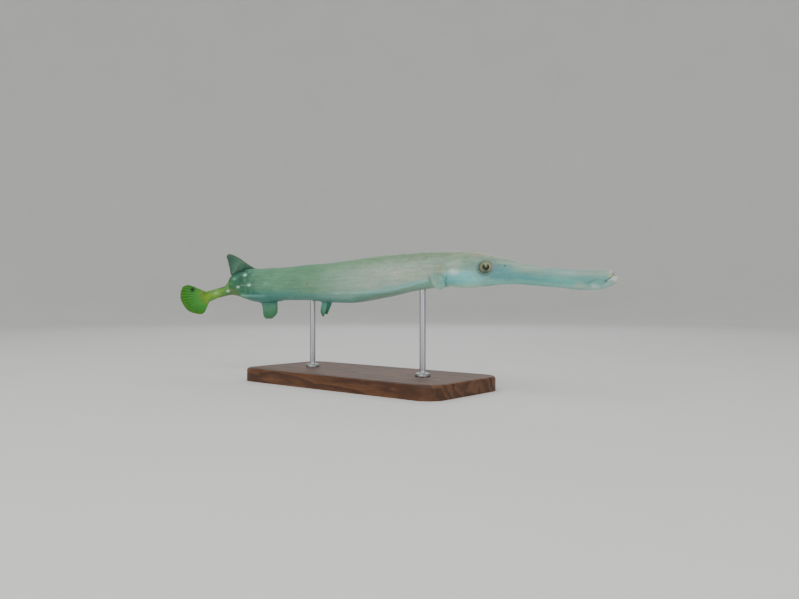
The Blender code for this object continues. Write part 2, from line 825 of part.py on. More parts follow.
def make_stand(base_look, rod_look):
    shape = bmesh.new()
    corners = []
    steps = 6
    for quarter, (sx, sy) in enumerate(((1, 1), (-1, 1), (-1, -1), (1, -1))):
        for k in range(steps + 1):
            a = math.pi / 2 * (quarter + k / steps)
            corners.append(
                (
                    sx * (BASE_LENGTH / 2 - BASE_CORNER) + BASE_CORNER * math.cos(a),
                    sy * (BASE_WIDTH / 2 - BASE_CORNER) + BASE_CORNER * math.sin(a),
                )
            )
    face = shape.faces.new([shape.verts.new((x, y, 0.0)) for x, y in corners])
    raised = bmesh.ops.extrude_face_region(shape, geom=[face])["geom"]
    bmesh.ops.translate(
        shape, verts=[g for g in raised if isinstance(g, bmesh.types.BMVert)], vec=(0, 0, BASE_HEIGHT)
    )
    top_edges = [e for e in shape.edges if all(v.co.z > BASE_HEIGHT / 2 for v in e.verts)]
    bmesh.ops.bevel(shape, geom=top_edges, offset=BASE_EDGE, segments=2, profile=0.5, affect="EDGES")
    solid_from("stand_base", shape, base_look)
    for name, at in (("stand_rod_front", FRONT_ROD_AT), ("stand_rod_rear", REAR_ROD_AT)):
        make_rod(name, at, rod_look)


def belly_height(at, side):
    """Height over the spine of the body's underside, a way to the side of its middle."""
    low, high = -math.pi / 2, 0.0
    for _ in range(30):
        angle = (low + high) / 2
        if section(at, angle)[0] < abs(side):
            low = angle
        else:
            high = angle
    return section(at, angle)[1]


def make_rod(name, at, look):
    """A foot and a rod, whose top follows the belly."""
    centre = place(at)
    bottom = BASE_HEIGHT + GAP
    profile = (
        (ROD_FOOT_RADIUS, bottom),
        (ROD_FOOT_RADIUS, bottom + ROD_FOOT_HEIGHT - 0.0008),
        (ROD_FOOT_RADIUS - 0.0008, bottom + ROD_FOOT_HEIGHT),
        (ROD_RADIUS, bottom + ROD_FOOT_HEIGHT),
    )
    turns = [2 * math.pi * k / ROD_SIDES for k in range(ROD_SIDES)]
    rings = [
        [Vector((centre.x + r * math.cos(a), centre.y + r * math.sin(a), z)) for a in turns]
        for r, z in profile
    ]
    top = []
    for a in turns:
        x, y = ROD_RADIUS * math.cos(a), ROD_RADIUS * math.sin(a)
        top.append(
            Vector((centre.x + x, centre.y + y, centre.z + belly_height(at - x, y) - GAP - 0.0001))
        )
    rings.append(top)
    shape = bmesh.new()
    rows = [[shape.verts.new(p) for p in points] for points in rings]
    for row, following in zip(rows, rows[1:]):
        for k in range(ROD_SIDES):
            j = (k + 1) % ROD_SIDES
            shape.faces.new((row[k], row[j], following[j], following[k]))
    middle = shape.verts.new((centre.x, centre.y, centre.z + belly_height(at, 0.0) - GAP - 0.0002))
    for k in range(ROD_SIDES):
        shape.faces.new((rows[-1][k], rows[-1][(k + 1) % ROD_SIDES], middle))
    shape.faces.new(rows[0])
    solid_from(name, shape, look)


def main():
    for old in list(bpy.data.objects):
        bpy.data.objects.remove(old)
    snout_skin = material("snout_skin", (150, 172, 165), 0.42)
    head_skin = material("head_skin", (150, 168, 158), 0.42)
    trunk_skin = material("trunk_skin", (150, 163, 150), 0.42)
    tail_skin = material("tail_skin", (78, 122, 104), 0.42)
    fin_skin = material("fin_skin", (92, 132, 96), 0.45)
    caudal_skin = material("caudal_skin", (92, 142, 52), 0.45)
    eye_look = material("eye", (120, 98, 80), 0.12)
    base_look = material("stand_base", (92, 62, 42), 0.5)
    rod_look = material("stand_rod", (186, 188, 190), 0.3, metallic=1.0)
    make_snout_and_jaw(snout_skin)
    make_head(head_skin)
    make_eyes(eye_look)
    make_gill_cover("gill_cover_left", 1, head_skin)
    make_gill_cover("gill_cover_right", -1, head_skin)
    make_trunk(trunk_skin)
    make_tail(tail_skin)
    back, belly = math.pi / 2, -math.pi / 2
    make_midline_fin("dorsal_fin", back, DORSAL_ROOT, DORSAL_MARGIN, DORSAL_RAYS, 6, fin_skin)
    make_midline_fin("anal_fin", belly, ANAL_ROOT, ANAL_MARGIN, ANAL_RAYS, 5, fin_skin)
    make_caudal_fin(caudal_skin)
    make_pectoral_fin("pectoral_fin_left", 1, fin_skin)
    make_pectoral_fin("pectoral_fin_right", -1, fin_skin)
    make_pelvic_fin("pelvic_fin_left", 1, fin_skin)
    make_pelvic_fin("pelvic_fin_right", -1, fin_skin)
    make_stand(base_look, rod_look)


main()
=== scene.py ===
"""Looks of the trumpetfish display model: one skin, scales, rayed fins, eyes and a finished stand.

Metres, in the frame of the solids. The fish is laid out along one spine line. A place on it is given
by its distance behind the tip of the lower jaw, its height over the spine, and its way to the left.
"""

import math

import bmesh
import bpy
import numpy as np
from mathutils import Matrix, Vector


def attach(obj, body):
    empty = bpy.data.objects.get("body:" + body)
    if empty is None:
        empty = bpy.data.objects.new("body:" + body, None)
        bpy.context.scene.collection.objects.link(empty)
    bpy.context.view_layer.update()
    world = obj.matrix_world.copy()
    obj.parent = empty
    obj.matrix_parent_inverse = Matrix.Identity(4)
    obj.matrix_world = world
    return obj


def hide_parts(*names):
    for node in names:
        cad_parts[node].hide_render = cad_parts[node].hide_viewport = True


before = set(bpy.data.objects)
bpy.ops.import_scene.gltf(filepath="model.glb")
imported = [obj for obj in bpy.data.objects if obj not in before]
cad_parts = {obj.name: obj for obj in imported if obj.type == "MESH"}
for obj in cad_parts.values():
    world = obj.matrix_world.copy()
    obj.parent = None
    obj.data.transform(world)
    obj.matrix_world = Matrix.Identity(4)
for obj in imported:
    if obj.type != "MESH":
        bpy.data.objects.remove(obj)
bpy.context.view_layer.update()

# Spine line, with the turn and the droop of the tail
SNOUT_X, SPINE_HEIGHT, SPINE_STEP = 0.2695, 0.105, 0.00025
TURN_RANGE, TURN_ANGLE = (0.445, 0.515), math.radians(34)
DROOP_RANGE, DROOP_ANGLE = (0.468, 0.508), math.radians(17)

# Body: distance, height of its top and of its underside, and half width
BODY = (
    (0.0000, -0.0013, -0.0034, 0.0012),
    (0.0010, 0.0000, -0.0041, 0.0024),
    (0.0043, 0.0005, -0.0058, 0.0036),
    (0.0049, 0.0040, -0.0062, 0.0038),
    (0.0060, 0.0060, -0.0068, 0.0041),
    (0.0090, 0.0065, -0.0083, 0.0044),
    (0.0165, 0.0063, -0.0104, 0.0046),
    (0.0300, 0.0060, -0.0105, 0.0042),
    (0.0460, 0.0072, -0.0088, 0.0041),
    (0.0690, 0.0096, -0.0067, 0.0045),
    (0.0800, 0.0117, -0.0057, 0.0052),
    (0.0920, 0.0150, -0.0049, 0.0063),
    (0.1040, 0.0184, -0.0049, 0.0077),
    (0.1160, 0.0214, -0.0058, 0.0090),
    (0.1285, 0.0238, -0.0069, 0.0098),
    (0.1420, 0.0254, -0.0077, 0.0103),
    (0.1650, 0.0265, -0.0066, 0.0112),
    (0.1970, 0.0267, -0.0090, 0.0128),
    (0.2400, 0.0257, -0.0161, 0.0140),
    (0.2900, 0.0226, -0.0215, 0.0145),
    (0.3200, 0.0208, -0.0210, 0.0140),
    (0.3500, 0.0200, -0.0188, 0.0130),
    (0.3860, 0.0183, -0.0187, 0.0118),
    (0.4180, 0.0180, -0.0213, 0.0105),
    (0.4440, 0.0178, -0.0196, 0.0090),
    (0.4620, 0.0168, -0.0165, 0.0077),
    (0.4760, 0.0136, -0.0131, 0.0065),
    (0.4830, 0.0095, -0.0121, 0.0056),
    (0.4880, 0.0030, -0.0119, 0.0048),
    (0.4930, -0.0003, -0.0119, 0.0042),
    (0.5050, -0.0004, -0.0117, 0.0035),
    (0.5170, 0.0000, -0.0126, 0.0027),
)
TAIL_END = BODY[-1][0]
RING_SQUARENESS, BELLY_FULLNESS = 2.25, 0.10
GAP = 0.0003

# The skin is rounded off over NOSE_ROUND in front, and runs a little past the tail's end into the fin
NOSE_ROUND = 0.0009
SKIN_END = TAIL_END + 0.0050
SKIN_ROWS, SKIN_COLUMNS = 348, 72

# Mouth: corner of the gape, and the notch at the front
GAPE_CORNER = (0.0088, -0.0036)
NOTCH = (0.0047, -0.0010)

# Eye. Its bars are olive: centre and half size in radians, rearward and up from the pupil, and colour
EYE_AT, EYE_HEIGHT, EYE_OUT = 0.1174, 0.0101, 0.0068
EYE_LENGTH, EYE_DEPTH, EYE_THICKNESS = 0.0140, 0.0113, 0.0092
EYE_FORWARD, EYE_UP = math.radians(21), 0.03
PUPIL_SIZE = 0.45
EYE_BARS = (
    ((0.46, 0.05), (0.16, 0.62), (58, 78, 46)),
    ((0.05, -0.72), (0.48, 0.40), (74, 104, 86)),
    ((0.16, 0.74), (0.50, 0.48), (104, 134, 104)),
)
# Painted reflection over the top of the pupil: centre and half size, in the same units as the bars.
PAINTED_EYE_GLINT, PAINTED_GLINT_SIZE = (0.04, 0.34), (0.20, 0.36)

# Nostrils: distance, height, radius and depth
NOSTRILS = ((0.0990, 0.0109, 0.00095, 1.0), (0.1040, 0.0115, 0.00080, 0.55))

# Creases and ridges of the head, in distance and height
HINGE_LINE = (GAPE_CORNER, (0.0112, -0.0058), (0.0138, -0.0092), (0.0165, -0.0122))
CORNER_CREASE = (
    GAPE_CORNER,
    (0.0120, -0.0032),
    (0.0159, -0.0026),
    (0.0200, -0.0038),
    (0.0240, -0.0051),
    (0.0290, -0.0066),
)
MAXILLA = ((0.0062, 0.0016), (0.0092, -0.0012), (0.0124, -0.0048))
CHEEK_LINE = (
    (0.1330, 0.0092),
    (0.1300, 0.0062),
    (0.1276, 0.0026),
    (0.1250, -0.0012),
    (0.1215, -0.0044),
    (0.1170, -0.0062),
)
BROW = ((0.1010, 0.0150), (0.1090, 0.0172), (0.1180, 0.0188), (0.1270, 0.0187), (0.1340, 0.0170))
SNOUT_CREASE = ((0.0170, 0.0005), (0.0340, -0.0010), (0.0560, 0.0010), (0.0780, 0.0034), (0.0960, 0.0062))
SNOUT_RIDGE = ((0.0120, 0.0030), (0.0340, 0.0022), (0.0600, 0.0046), (0.0840, 0.0080), (0.0980, 0.0118))

# Gill cover, as part of the body's surface
COVER_AT, COVER_HALF_LENGTH = 0.1398, 0.0174
COVER_ANGLE, COVER_HALF_ANGLE = math.radians(-28), math.radians(40)
COVER_THICKNESS = 0.0014

# Where the scales begin and end, their pitch, and the vent that they leave clear
SCALES_FROM, SCALES_TO = 0.1500, 0.5212
SCALE_PITCH = 0.0016
VENT_AT = 0.3985
# Outline of one scale: share of its length back, share of its half width, and lift over the skin
SCALE_OUTLINE = (
    (-0.10, 0.00, -0.00004),
    (0.25, 0.95, -0.00002),
    (0.25, -0.95, -0.00002),
    (0.88, 0.62, 0.00007),
    (0.88, -0.62, 0.00007),
    (1.06, 0.00, 0.00010),
    (0.55, 0.00, 0.00010),
    (0.92, 0.66, -0.00008),
    (0.92, -0.66, -0.00008),
    (1.12, 0.00, -0.00008),
)
SCALE_TOP = ((0, 6, 1), (0, 2, 6), (1, 6, 3), (2, 4, 6), (3, 6, 5), (4, 5, 6))
SCALE_EDGE = ((3, 5, 9), (3, 9, 7), (5, 4, 8), (5, 8, 9))

# Midline fins, with the sizes of the solids. A margin has the share of the root, distance and height
DORSAL_ROOT, ANAL_ROOT = (0.4415, 0.4815), (0.4045, 0.4560)
MIDLINE_ROOTS = ((DORSAL_ROOT, 1), (ANAL_ROOT, -1))
DORSAL_MARGIN = (
    (0.00, 0.4475, 0.0197),
    (0.12, 0.4590, 0.0250),
    (0.26, 0.4730, 0.0327),
    (0.38, 0.4836, 0.0380),
    (0.48, 0.4860, 0.0345),
    (0.70, 0.4847, 0.0262),
    (1.00, 0.4832, 0.0125),
)
ANAL_MARGIN = (
    (0.00, 0.4036, -0.0270),
    (0.07, 0.4042, -0.0325),
    (0.16, 0.4082, -0.0372),
    (0.30, 0.4160, -0.0402),
    (0.40, 0.4232, -0.0404),
    (0.45, 0.4284, -0.0366),
    (0.49, 0.4298, -0.0290),
    (0.54, 0.4328, -0.0226),
    (1.00, 0.4570, -0.0174),
)
# Tail fin: length by the angle of its rays in degrees
CAUDAL_MARGIN = (
    (-64.0, 0.0170),
    (-56.0, 0.0218),
    (-36.0, 0.0258),
    (-10.0, 0.0314),
    (20.0, 0.0347),
    (36.0, 0.0342),
    (46.0, 0.0295),
    (51.0, 0.0235),
)

# Paired fins. In these tables the left one is 1 and the right one -1
PECTORAL_AT, PECTORAL_ANGLE, PECTORAL_ROOT = 0.1588, math.radians(-30), 0.0056
PECTORAL_LENGTH, PECTORAL_BULGE, PECTORAL_SHORTENING = 0.0124, 0.20, 0.52
PECTORAL_FLARE = math.radians(11)
PECTORAL_FAN = (math.radians(12), math.radians(-72))
PECTORAL_LIFT = {1: math.radians(28), -1: 0.0}
PELVIC_AT, PELVIC_ROOT, PELVIC_ANGLE = 0.3190, 0.0080, math.radians(-80)
PELVIC_LENGTH, PELVIC_SPLAY, PELVIC_NARROWING = 0.0168, math.radians(5), 0.003
PELVIC_LEAN = {1: math.radians(30), -1: math.radians(12)}

# Fins: share sunk in the body, columns of the mesh for each ray, and the form of rays and membrane
FIN_SUNK, COLUMNS_PER_RAY = 0.10, 8
LONG_FIN = {"fork": 0.17, "notch": 0.014, "joints": 9, "ray": 0.00055, "membrane": 0.00032, "wave": 0.00035}
TAIL_FIN = {"fork": 0.22, "notch": 0.013, "joints": 11, "ray": 0.00075, "membrane": 0.00036, "wave": 0.0005}
SMALL_FIN = {"fork": 0.16, "notch": 0.020, "joints": 7, "ray": 0.00042, "membrane": 0.00028, "wave": 0.00025}

# Folded spines of the back, and the barbel of the chin
SPINE_COUNT, SPINES_FROM, SPINES_TO = 10, 0.190, 0.408
FOLDED_SPINE_LENGTH, FOLDED_SPINE_RADIUS = 0.0085, 0.00055
BARBEL_START, BARBEL_LENGTH, BARBEL_RADIUS = 0.0016, 0.0072, 0.0005

# Stand: top of the base, the rods by their place along the fish, and their foot by radius and height
BASE_TOP, ROD_RADIUS = 0.014, 0.003
RODS = {"stand_rod_front": 0.1935, "stand_rod_rear": 0.3455}
ROD_FOOT = (
    (0.0075, 0.0),
    (0.0075, 0.0012),
    (0.0072, 0.0016),
    (0.0072, 0.0022),
    (0.0067, 0.0027),
    (0.0042, 0.0030),
    (0.0036, 0.0034),
    (0.0034, 0.0046),
    (ROD_RADIUS, 0.0050),
)

# Camera of the photograph's view, and the studio's lights: place, size, power and colour
CAMERA_PLACE = (0.49324652, -0.53148158, 0.087)
CAMERA_TURN = math.radians(40)
CAMERA_LENS = 32.009
LIT_PLACE = (0.0, 0.0, 0.09)
LIGHTS = {
    "key": ((0.35, -1.1, 1.35), (1.4, 1.0), 17, (1.0, 0.985, 0.96)),
    "low": ((0.15, -1.5, 0.22), (1.6, 0.4), 3.5, (0.98, 1.0, 1.0)),
    "fill": ((1.5, -0.5, 0.5), (1.0, 1.0), 7, (0.93, 0.97, 1.0)),
    "back": ((-0.9, 1.2, 1.1), (1.2, 0.8), 6, (0.96, 0.98, 1.0)),
}

# Colours below are screen colours from 0 to 255. First the back, the flank and the belly, by distance
BACK = (
    (0.000, (146, 160, 154)),
    (0.050, (132, 166, 160)),
    (0.110, (150, 162, 144)),
    (0.190, (104, 140, 104)),
    (0.300, (112, 154, 122)),
    (0.340, (96, 146, 112)),
    (0.420, (100, 150, 120)),
    (0.448, (98, 152, 130)),
    (0.470, (52, 108, 94)),
    (0.517, (78, 134, 54)),
)
FLANK = (
    (0.000, (108, 156, 152)),
    (0.035, (92, 164, 158)),
    (0.110, (86, 140, 144)),
    (0.145, (148, 172, 158)),
    (0.230, (168, 184, 175)),
    (0.290, (140, 170, 153)),
    (0.335, (104, 150, 120)),
    (0.410, (100, 150, 122)),
    (0.475, (56, 108, 82)),
    (0.495, (92, 144, 46)),
    (0.517, (106, 156, 24)),
)
BELLY = (
    (0.000, (156, 188, 184)),
    (0.080, (116, 180, 172)),
    (0.150, (146, 204, 198)),
    (0.230, (150, 198, 188)),
    (0.335, (98, 160, 148)),
    (0.430, (48, 122, 110)),
    (0.475, (72, 124, 80)),
    (0.517, (106, 154, 60)),
)
BANDS_LENGTH = 0.52
# Tan patch behind the top of the gill cover, yellowish flank, and a darker patch behind the pectoral fin that
# is partly the fin's painted shadow:
# centre, half size, strength and colour
SHOULDER_MARKS = (
    ((0.1669, 0.0103), (0.0058, 0.0048), 0.55, (178, 162, 134)),
    ((0.2010, 0.0050), (0.0170, 0.0060), 0.40, (182, 188, 152)),
    # Partly painted shadow behind the pectoral fin's rear edge.
    ((0.1768, 0.0000), (0.0024, 0.0056), 0.55, (112, 114, 102)),
)
# White front of the upper jaw, pale lips, green patch behind them, and pale jaw:
# centre, lengthwise stretch, outer and inner reach, strength and colour
MOUTH_MARKS = (
    ((0.0046, 0.0038), 1.0, (0.0024, 0.0006), 0.60, (206, 208, 200)),
    ((0.0010, -0.0016), 1.0, (0.0052, 0.0010), 0.60, (204, 204, 192)),
    ((0.0056, 0.0006), 1.0, (0.0034, 0.0006), 0.50, (140, 162, 110)),
    ((0.0186, -0.0073), 0.6, (0.0030, 0.0004), 0.45, (196, 208, 200)),
)
# Pale spots of the tail: distance, height, half height and strength, on both sides; each is longer than high
SPOTS = (
    (0.4549, 0.0109, 0.0018, 1.0),
    (0.4742, 0.0065, 0.0017, 0.6),
    (0.4442, -0.0011, 0.0018, 1.0),
    (0.4666, -0.0032, 0.0016, 0.9),
    (0.4860, -0.0070, 0.0017, 0.85),
    (0.4122, 0.0002, 0.0022, 0.5),
    (0.3725, -0.0160, 0.0022, 0.45),
    (0.5042, -0.0055, 0.0026, 0.5),
)
SPOT_STRETCH = 0.45
# The pale stripe low on the side, and the lateral line, in distance and height
STRIPE = (
    (0.1720, 0.0008),
    (0.1835, -0.0008),
    (0.1976, -0.0031),
    (0.2128, -0.0061),
    (0.2280, -0.0091),
    (0.2766, -0.0115),
    (0.3532, -0.0110),
    (0.4204, -0.0140),
    (0.4594, -0.0133),
)
LATERAL_LINE = (
    (0.150, 0.0150),
    (0.175, 0.0125),
    (0.220, 0.0080),
    (0.300, 0.0030),
    (0.400, 0.0000),
    (0.470, -0.0020),
    (0.517, -0.0063),
)
# Fins: colours of the root, the middle and the tip, how much their rays are darker, and colour of the rim
FIN_TONES = {
    # The dorsal fin's near-black root is partly painted shade, the same as along its base on the body.
    "dorsal": ((22, 68, 52), (90, 132, 112), (48, 94, 78), (0.66, 0.74, 0.66), (134, 136, 92)),
    "anal": ((106, 170, 156), (98, 156, 122), (66, 126, 88), (0.74, 0.80, 0.74), (100, 140, 92)),
    "caudal": ((146, 172, 60), (72, 160, 62), (66, 138, 32), (0.44, 0.60, 0.36), (116, 150, 38)),
    "pectoral": ((140, 204, 194), (150, 204, 190), (156, 196, 178), (0.88, 0.90, 0.88), (176, 194, 176)),
    "pelvic": ((144, 210, 200), (130, 196, 176), (84, 144, 106), (0.82, 0.85, 0.80), None),
}
# Dark spot of the tail fin: distance and height, radius and colour
TAIL_SPOT = ((0.5330, 0.0075), 0.0034, (6, 32, 8))


def curve_through(rows, column, at):
    """A column of the rows at many distances, on a smooth curve that doesn't overshoot them."""
    rows = np.asarray(rows, float)
    x, y = rows[:, 0], rows[:, column]
    slope = np.diff(y) / np.diff(x)
    tangent = np.empty(len(x))
    tangent[0], tangent[-1] = slope[0], slope[-1]
    before, after = slope[:-1], slope[1:]
    agree = before * after > 0
    tangent[1:-1] = np.where(agree, 2 * before * after / np.where(agree, before + after, 1), 0)
    at = np.clip(at, x[0], x[-1])
    i = np.clip(np.searchsorted(x, at, "right") - 1, 0, len(x) - 2)
    span = x[i + 1] - x[i]
    t = (at - x[i]) / span
    return (
        (2 * t**3 - 3 * t**2 + 1) * y[i]
        + (t**3 - 2 * t**2 + t) * span * tangent[i]
        + (3 * t**2 - 2 * t**3) * y[i + 1]
        + (t**3 - t**2) * span * tangent[i + 1]
    )


def ease(start, end, at):
    """0 before start, 1 after end, and a smooth change between them."""
    t = np.clip((np.asarray(at, float) - start) / (end - start), 0, 1)
    return t * t * (3 - 2 * t)


def window(at, rise, fall):
    """1 between two soft edges, each given by its outer and its inner end."""
    return ease(*rise, at) * ease(*fall, at)


def bump(at, width, centre=0.0):
    """1 at the centre, and softly down to 0 on both sides."""
    return np.exp(-(((at - centre) / width) ** 2))


def arch(share, power=1.0):
    """0 at both ends of a share from 0 to 1, and 1 in the middle."""
    return np.sin(math.pi * np.clip(share, 0, 1)) ** power


def unit(vectors):
    return vectors / np.linalg.norm(vectors, axis=-1, keepdims=True)


def tail_direction(at):
    turn = TURN_ANGLE * ease(*TURN_RANGE, at)
    droop = DROOP_ANGLE * ease(*DROOP_RANGE, at)
    return np.stack([-np.cos(turn) * np.cos(droop), -np.sin(turn) * np.cos(droop), -np.sin(droop)], -1)


def spine_line():
    count = int((TAIL_END + 0.06) / SPINE_STEP)
    steps = tail_direction((np.arange(count) + 0.5) * SPINE_STEP) * SPINE_STEP
    start = np.array([[SNOUT_X, 0.0, SPINE_HEIGHT]])
    return np.vstack([start, start + np.cumsum(steps, 0)])


SPINE_LINE = spine_line()
SPINE_KNOTS = np.arange(len(SPINE_LINE)) * SPINE_STEP


def axes_at(at):
    """Unit vectors back, left and up at distances along the spine."""
    back = tail_direction(at)
    left = unit(np.stack([back[..., 1], -back[..., 0], np.zeros_like(back[..., 0])], -1))
    return back, left, np.cross(left, back)


def place(at, height, side):
    at, height, side = np.broadcast_arrays(*(np.asarray(v, float) for v in (at, height, side)))
    back, left, up = axes_at(at)
    centre = np.stack([np.interp(at, SPINE_KNOTS, SPINE_LINE[:, k]) for k in range(3)], -1)
    return centre + up * height[..., None] + left * side[..., None]


def power(value, exponent):
    return np.sign(value) * np.abs(value) ** exponent


def section(at, angle):
    """Side and height of the body's surface. Angle 0 is the left side, a quarter turn the back."""
    at, angle = np.asarray(at, float), np.asarray(angle, float)
    top, bottom, width = (curve_through(BODY, k, at) for k in (1, 2, 3))
    start = np.sqrt(np.clip(1 - (1 - np.clip(at / NOSE_ROUND, 0, 1)) ** 2, 0.0, 1))
    past = ease(TAIL_END - 0.0015, SKIN_END, at)
    width = width * start * (1 - 0.965 * past)
    half = (top - bottom) / 2 * start
    exponent = 2 / RING_SQUARENESS
    side = width * power(np.cos(angle), exponent) * (1 - BELLY_FULLNESS * np.sin(angle))
    return side, (top + bottom) / 2 + half * power(np.sin(angle), exponent)


def edge_height(at, sign):
    """Height of the back's midline with sign 1, and of the belly's with sign -1."""
    at = np.asarray(at, float)
    return section(at, np.full_like(at, sign * math.pi / 2))[1]


def plain_surface(at, angle):
    side, height = section(at, angle)
    return place(at, height, side)


def surface_normal(at, angle):
    step, turn = 0.0006, 0.02
    ahead, behind = np.maximum(at - step, 0.0001), np.minimum(at + step, TAIL_END + 0.003)
    along = plain_surface(behind, angle) - plain_surface(ahead, angle)
    around = plain_surface(at, angle + turn) - plain_surface(at, angle - turn)
    normal = np.cross(along, around)
    normal = normal / np.maximum(np.linalg.norm(normal, axis=-1, keepdims=True), 1e-12)
    middle = (edge_height(at, 1) + edge_height(at, -1)) / 2
    outward = plain_surface(at, angle) - place(at, middle, 0.0)
    facing = np.sign(np.sum(normal * outward, -1, keepdims=True))
    return normal * np.where(facing == 0, 1, facing)


def turn_where(at, wanted, column, low, high):
    """Angle between low and high at which the section's side (column 0) or height (column 1) has a value."""
    low, high = np.full(np.shape(wanted), float(low)), np.full(np.shape(wanted), float(high))
    rising = section(at, high)[column] > section(at, low)[column]
    for _ in range(30):
        middle = (low + high) / 2
        short = (section(at, middle)[column] < wanted) == rising
        low, high = np.where(short, middle, low), np.where(short, high, middle)
    return (low + high) / 2


def distance_to_path(points, path):
    """Distance of many points to a path of straight runs, and the share of the path at the nearest place."""
    path = np.asarray(path, float)
    best = np.full(len(points), 1e9)
    share = np.zeros(len(points))
    lengths = np.linalg.norm(np.diff(path, axis=0), axis=1)
    before = np.concatenate([[0], np.cumsum(lengths)])
    for k in range(len(path) - 1):
        run = path[k + 1] - path[k]
        t = np.clip((points - path[k]) @ run / (run @ run), 0, 1)
        far = np.linalg.norm(points - (path[k] + t[:, None] * run), axis=1)
        nearer = far < best
        best = np.where(nearer, far, best)
        share = np.where(nearer, (before[k] + t * lengths[k]) / before[-1], share)
    return best, share


def mouth_path():
    """The line of the mouth in distance, height and side, from corner to corner round the front."""
    at, height = np.linspace(GAPE_CORNER, NOTCH, 7).T
    side = section(at, turn_where(at, height, 1, -math.pi / 2, math.pi / 2))[0]
    flank = np.stack([at, height, side], -1)
    # Round the front it follows the foot of the upper jaw, on top of the lower one
    across = np.linspace(0.0029, -0.0029, 9)
    shelf = np.full(len(across), NOTCH[0] - 0.0004)
    over = section(shelf, turn_where(shelf, across, 0, 0, math.pi))[1]
    front = np.stack([shelf + 0.0002, over + 0.0001, across], -1)
    return np.vstack([flank, front, flank[::-1] * (1, 1, -1)])


MOUTH = mouth_path()


def flank_turn(angle):
    """The angle as it is on the left side, between minus and plus half a turn."""
    turned = np.where(np.cos(angle) >= 0, angle, math.pi - angle)
    return (turned + math.pi) % (2 * math.pi) - math.pi


def cover_share(at, angle):
    """0 at the middle of the gill cover and 1 on its outline, then the way up on it, then its free edge.

    The free edge is 1 behind and below, where the cover stands off, and 0 where it runs into the cheek.
    """
    along = (at - COVER_AT) / COVER_HALF_LENGTH
    around = (flank_turn(angle) - COVER_ANGLE) / COVER_HALF_ANGLE
    free = ease(-0.75, -0.10, along) * ease(0.98, 0.40, around)
    return (np.abs(along) ** 2.5 + np.abs(around) ** 2.5) ** 0.4, around, free


class Surface:
    """Places on the body, the height of the skin over it there, and soft masks for the skin's colours."""

    def __init__(self, at, angle):
        self.at, self.angle = at, angle
        self.side, self.height = section(at, angle)
        self.flank = np.stack([at, self.height], -1)
        self.above, self.below = np.sin(angle) > 0, np.sin(angle) < 0
        self.out, self.dark, self.nostril_shade = (np.zeros_like(at) for _ in range(3))

    def eye(self):
        """Distance from the middle of the eye, as a share of its outline."""
        back, up = (self.at - EYE_AT) / (EYE_LENGTH / 2), (self.height - EYE_HEIGHT) / (EYE_DEPTH / 2)
        return np.hypot(back, up)

    def line(self, path):
        return distance_to_path(self.flank, path)

    def mouth(self):
        return distance_to_path(np.stack([self.at, self.height, self.side], -1), MOUTH)

    def mound(self, centre, size):
        return bump(self.at, size[0], centre[0]) * bump(self.height, size[1], centre[1])


def shape_eye(s):
    """Raised rim of the orbit, the skin diving behind the eyeball, the brows and the hollow between them."""
    eye = s.eye()
    s.out += 0.00058 * bump(eye, 0.09, 1.04) - 0.0003 * bump(eye, 0.16, 1.36)
    s.out -= 0.0034 * ease(0.965, 0.84, eye)
    # Painted shade round the eye, on the rim of the orbit and just outside it.
    s.socket = bump(eye, 0.08, 0.97) * 0.7 + 0.55 * bump(eye, 0.17, 1.15)
    near, share = s.line(BROW)
    s.out += 0.00045 * bump(near, 0.0017) * arch(share)
    s.out -= 0.0007 * window(s.at, (0.096, 0.106), (0.140, 0.124)) * s.above * bump(s.side, 0.0024)


def shape_nostrils(s):
    """Two pits on each side, with a low rim."""
    for at, height, radius, depth in NOSTRILS:
        near = np.hypot(s.at - at, (s.height - height) * 1.2)
        s.out += 0.00020 * bump(near, radius * 0.35, radius * 1.35)
        s.out -= 0.0008 * depth * bump(near, radius * 0.75)
        # Painted shade in each nostril.
        s.nostril_shade += depth * bump(near, radius * 0.95)


def shape_snout(s):
    """A crease between the upper and lower bones, a ridge over it, and the swelling at the jaw's hinge."""
    near, share = s.line(SNOUT_CREASE)
    s.out -= 0.00022 * bump(near, 0.0012) * arch(share, 0.4)
    # Painted shade along the crease.
    s.dark += 0.12 * bump(near, 0.0016) * arch(share, 0.4)
    near, share = s.line(SNOUT_RIDGE)
    s.out += 0.00025 * bump(near, 0.0011) * arch(share, 0.4)
    s.out += 0.0004 * s.mound((0.0205, -0.0072), (0.0060, 0.0030))
    s.out -= 0.00025 * s.mound((0.0330, -0.0050), (0.0080, 0.0022))


